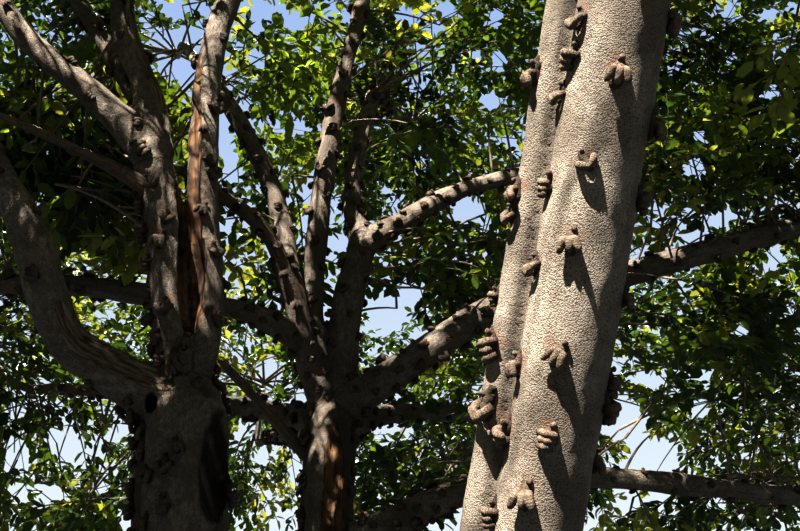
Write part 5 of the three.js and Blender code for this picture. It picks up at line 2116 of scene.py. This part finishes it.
class FIG_OT_leaves(bpy.types.Operator):
    """Set the leaves on the crown's shoots, each tint as its own piece"""

    bl_idname = "fig.leaves"
    bl_label = "Leaves"

    def execute(self, context):
        wide = context.scene.fig_leaves.width
        for index, (tint, colour, _) in enumerate(LEAF_TINTS):
            parts = []
            for _, _, _, leaves, tints in leafy_shoots():
                base, aim, lift, length, _ = (column[tints == index] for column in leaves)
                if len(base):
                    parts.append(leaf_arrays(base, aim, lift, length, wide))
            points, faces = merged(parts)
            material = leaf_material("fig_leaf_" + tint, colour)
            piece = mesh_object("leaves_" + tint, points, faces, material)
            uv = piece.data.uv_layers.new(name="leaf")
            corner = faces.ravel() % len(LEAF_POINTS)
            uv.data.foreach_set("uv", (LEAF_POINTS[corner, :2] + (0, 0.5)).astype(np.float32).ravel())
            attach(piece, "root")
            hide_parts(*[mass.name for mass in CROWN])
        return {"FINISHED"}


# Stage


class FIG_OT_stage(bpy.types.Operator):
    """Lay the pale floor, and set up the light and the camera"""

    bl_idname = "fig.stage"
    bl_label = "Floor, light and camera"

    def lay_floor(self, colour):
        nodes = Finish("pale_floor")
        material = nodes.end(nodes.add("ShaderNodeBsdfPrincipled", {
            "Base Color": rgb(colour), "Roughness": 0.9}))
        corners = np.array(((-1, -1, 0), (1, -1, 0), (1, 1, 0), (-1, 1, 0))) * FLOOR_HALF
        floor = mesh_object("floor", corners - UP * 0.002, np.array(((0, 1, 2), (0, 2, 3))), material)
        return floor

    def hang_backdrop(self, settings):
        """A backdrop that is bright and pale behind the tree, and dimmer beside and before it."""
        world = bpy.data.worlds.new("pale_backdrop")
        world.use_nodes = True
        nodes = Nodes(world.node_tree)
        backdrop = world.node_tree.nodes["Background"]
        facing = nodes.add("ShaderNodeTexCoord").outputs["Generated"]
        axes = nodes.add("ShaderNodeSeparateXYZ", {0: facing}).outputs
        full = settings.sky_power
        strength = nodes.spread(axes[1], 0.3, 0.66, full * 0.3, full)
        height = nodes.spread(axes[2], 0.15, 0.68)
        overhead = nodes.spread(axes[2], 0.74, 0.84)
        strength = nodes.times(overhead, full * 0.6, plus=strength)
        colour = nodes.mixed(height, settings.sky_low, settings.sky_high)
        colour = nodes.mixed(overhead, colour, OVERHEAD_COLOUR)
        world.node_tree.links.new(strength, backdrop.inputs["Strength"])
        world.node_tree.links.new(colour, backdrop.inputs["Color"])
        bpy.context.scene.world = world

    def add_spot(self, name, place, aim, power, angle, blend, left_out):
        """A far spot that lights all but what is left out."""
        light = bpy.data.lights.new(name, "SPOT")
        light.energy = power
        light.shadow_soft_size = 0.12
        light.color = SUN_COLOUR
        light.spot_size = math.radians(angle)
        light.spot_blend = blend
        lamp = bpy.data.objects.new(name, light)
        lamp.location = place
        lamp.rotation_mode = "QUATERNION"
        away = Vector(place) - Vector(aim)
        lamp.rotation_quaternion = away.to_track_quat("Z", "Y")
        lamp.visible_camera = False
        lamp.light_linking.receiver_collection = left_out
        bpy.context.scene.collection.objects.link(lamp)

    def execute(self, context):
        settings = context.scene.fig_stage
        floor = self.lay_floor(settings.floor)
        self.hang_backdrop(settings)
        context.scene.view_settings.view_transform = "Standard"
        context.scene.view_settings.gamma = 0.8

        # Two far spots that only just cover the crown. They leave out the floor, which would
        # throw their light back up into the shade.
        left_out = bpy.data.collections.new("not_lit_by_spots")
        left_out.objects.link(floor)
        left_out.collection_objects[0].light_linking.link_state = "EXCLUDE"
        away = float(np.linalg.norm(SUN_PLACE - SHOWN_MIDDLE))
        power = settings.key_power * 4 * math.pi * away**2
        back_place = CROWN_MIDDLE + direction(100, 50) * away
        self.add_spot("sun_front", SUN_PLACE, SHOWN_MIDDLE, power, 17, 0.2, left_out)
        self.add_spot("sun_back", back_place, CROWN_MIDDLE, power * 0.36, 21, 0.05, left_out)

        camera = bpy.data.objects.new("camera", bpy.data.cameras.new("camera"))
        camera.data.lens = settings.lens
        camera.data.sensor_width = 36
        camera.location = settings.camera_place
        camera.rotation_euler = (math.radians(90) + settings.camera_pitch, 0, 0)
        context.scene.collection.objects.link(camera)
        context.scene.camera = camera
        return {"FINISHED"}


class FIG_PT_panel(bpy.types.Panel):
    """Lists the tree's pieces in the order they are built"""

    bl_idname = "FIG_PT_panel"
    bl_label = "Fig Tree"
    bl_space_type = "VIEW_3D"
    bl_region_type = "UI"
    bl_category = "Fig Tree"

    def draw(self, context):
        for operator in OPERATORS:
            self.layout.operator(operator.bl_idname)
        for name, group in SETTINGS.items():
            box = self.layout.box()
            box.label(text=group.__doc__)
            for key in group.__annotations__:
                box.prop(getattr(context.scene, name), key)


SETTINGS = {
    "fig_bark": FigBarkSettings,
    "fig_knobs": FigKnobSettings,
    "fig_leaves": FigLeafSettings,
    "fig_stage": FigStageSettings,
}
OPERATORS = (FIG_OT_bark, FIG_OT_dead_limbs, FIG_OT_knobs, FIG_OT_twigs, FIG_OT_leaves, FIG_OT_stage)


def register():
    for made in (*SETTINGS.values(), *OPERATORS, FIG_PT_panel):
        bpy.utils.register_class(made)
    for name, group in SETTINGS.items():
        setattr(bpy.types.Scene, name, PointerProperty(type=group))


def unregister():
    for name in SETTINGS:
        delattr(bpy.types.Scene, name)
    for made in (FIG_PT_panel, *reversed(OPERATORS), *reversed(SETTINGS.values())):
        bpy.utils.unregister_class(made)


def main():
    register()
    bpy.ops.fig.bark()
    bpy.ops.fig.dead_limbs()
    bpy.ops.fig.knobs()
    bpy.ops.fig.twigs()
    bpy.ops.fig.leaves()
    bpy.ops.fig.stage()


if __name__ == "__main__":
    main()
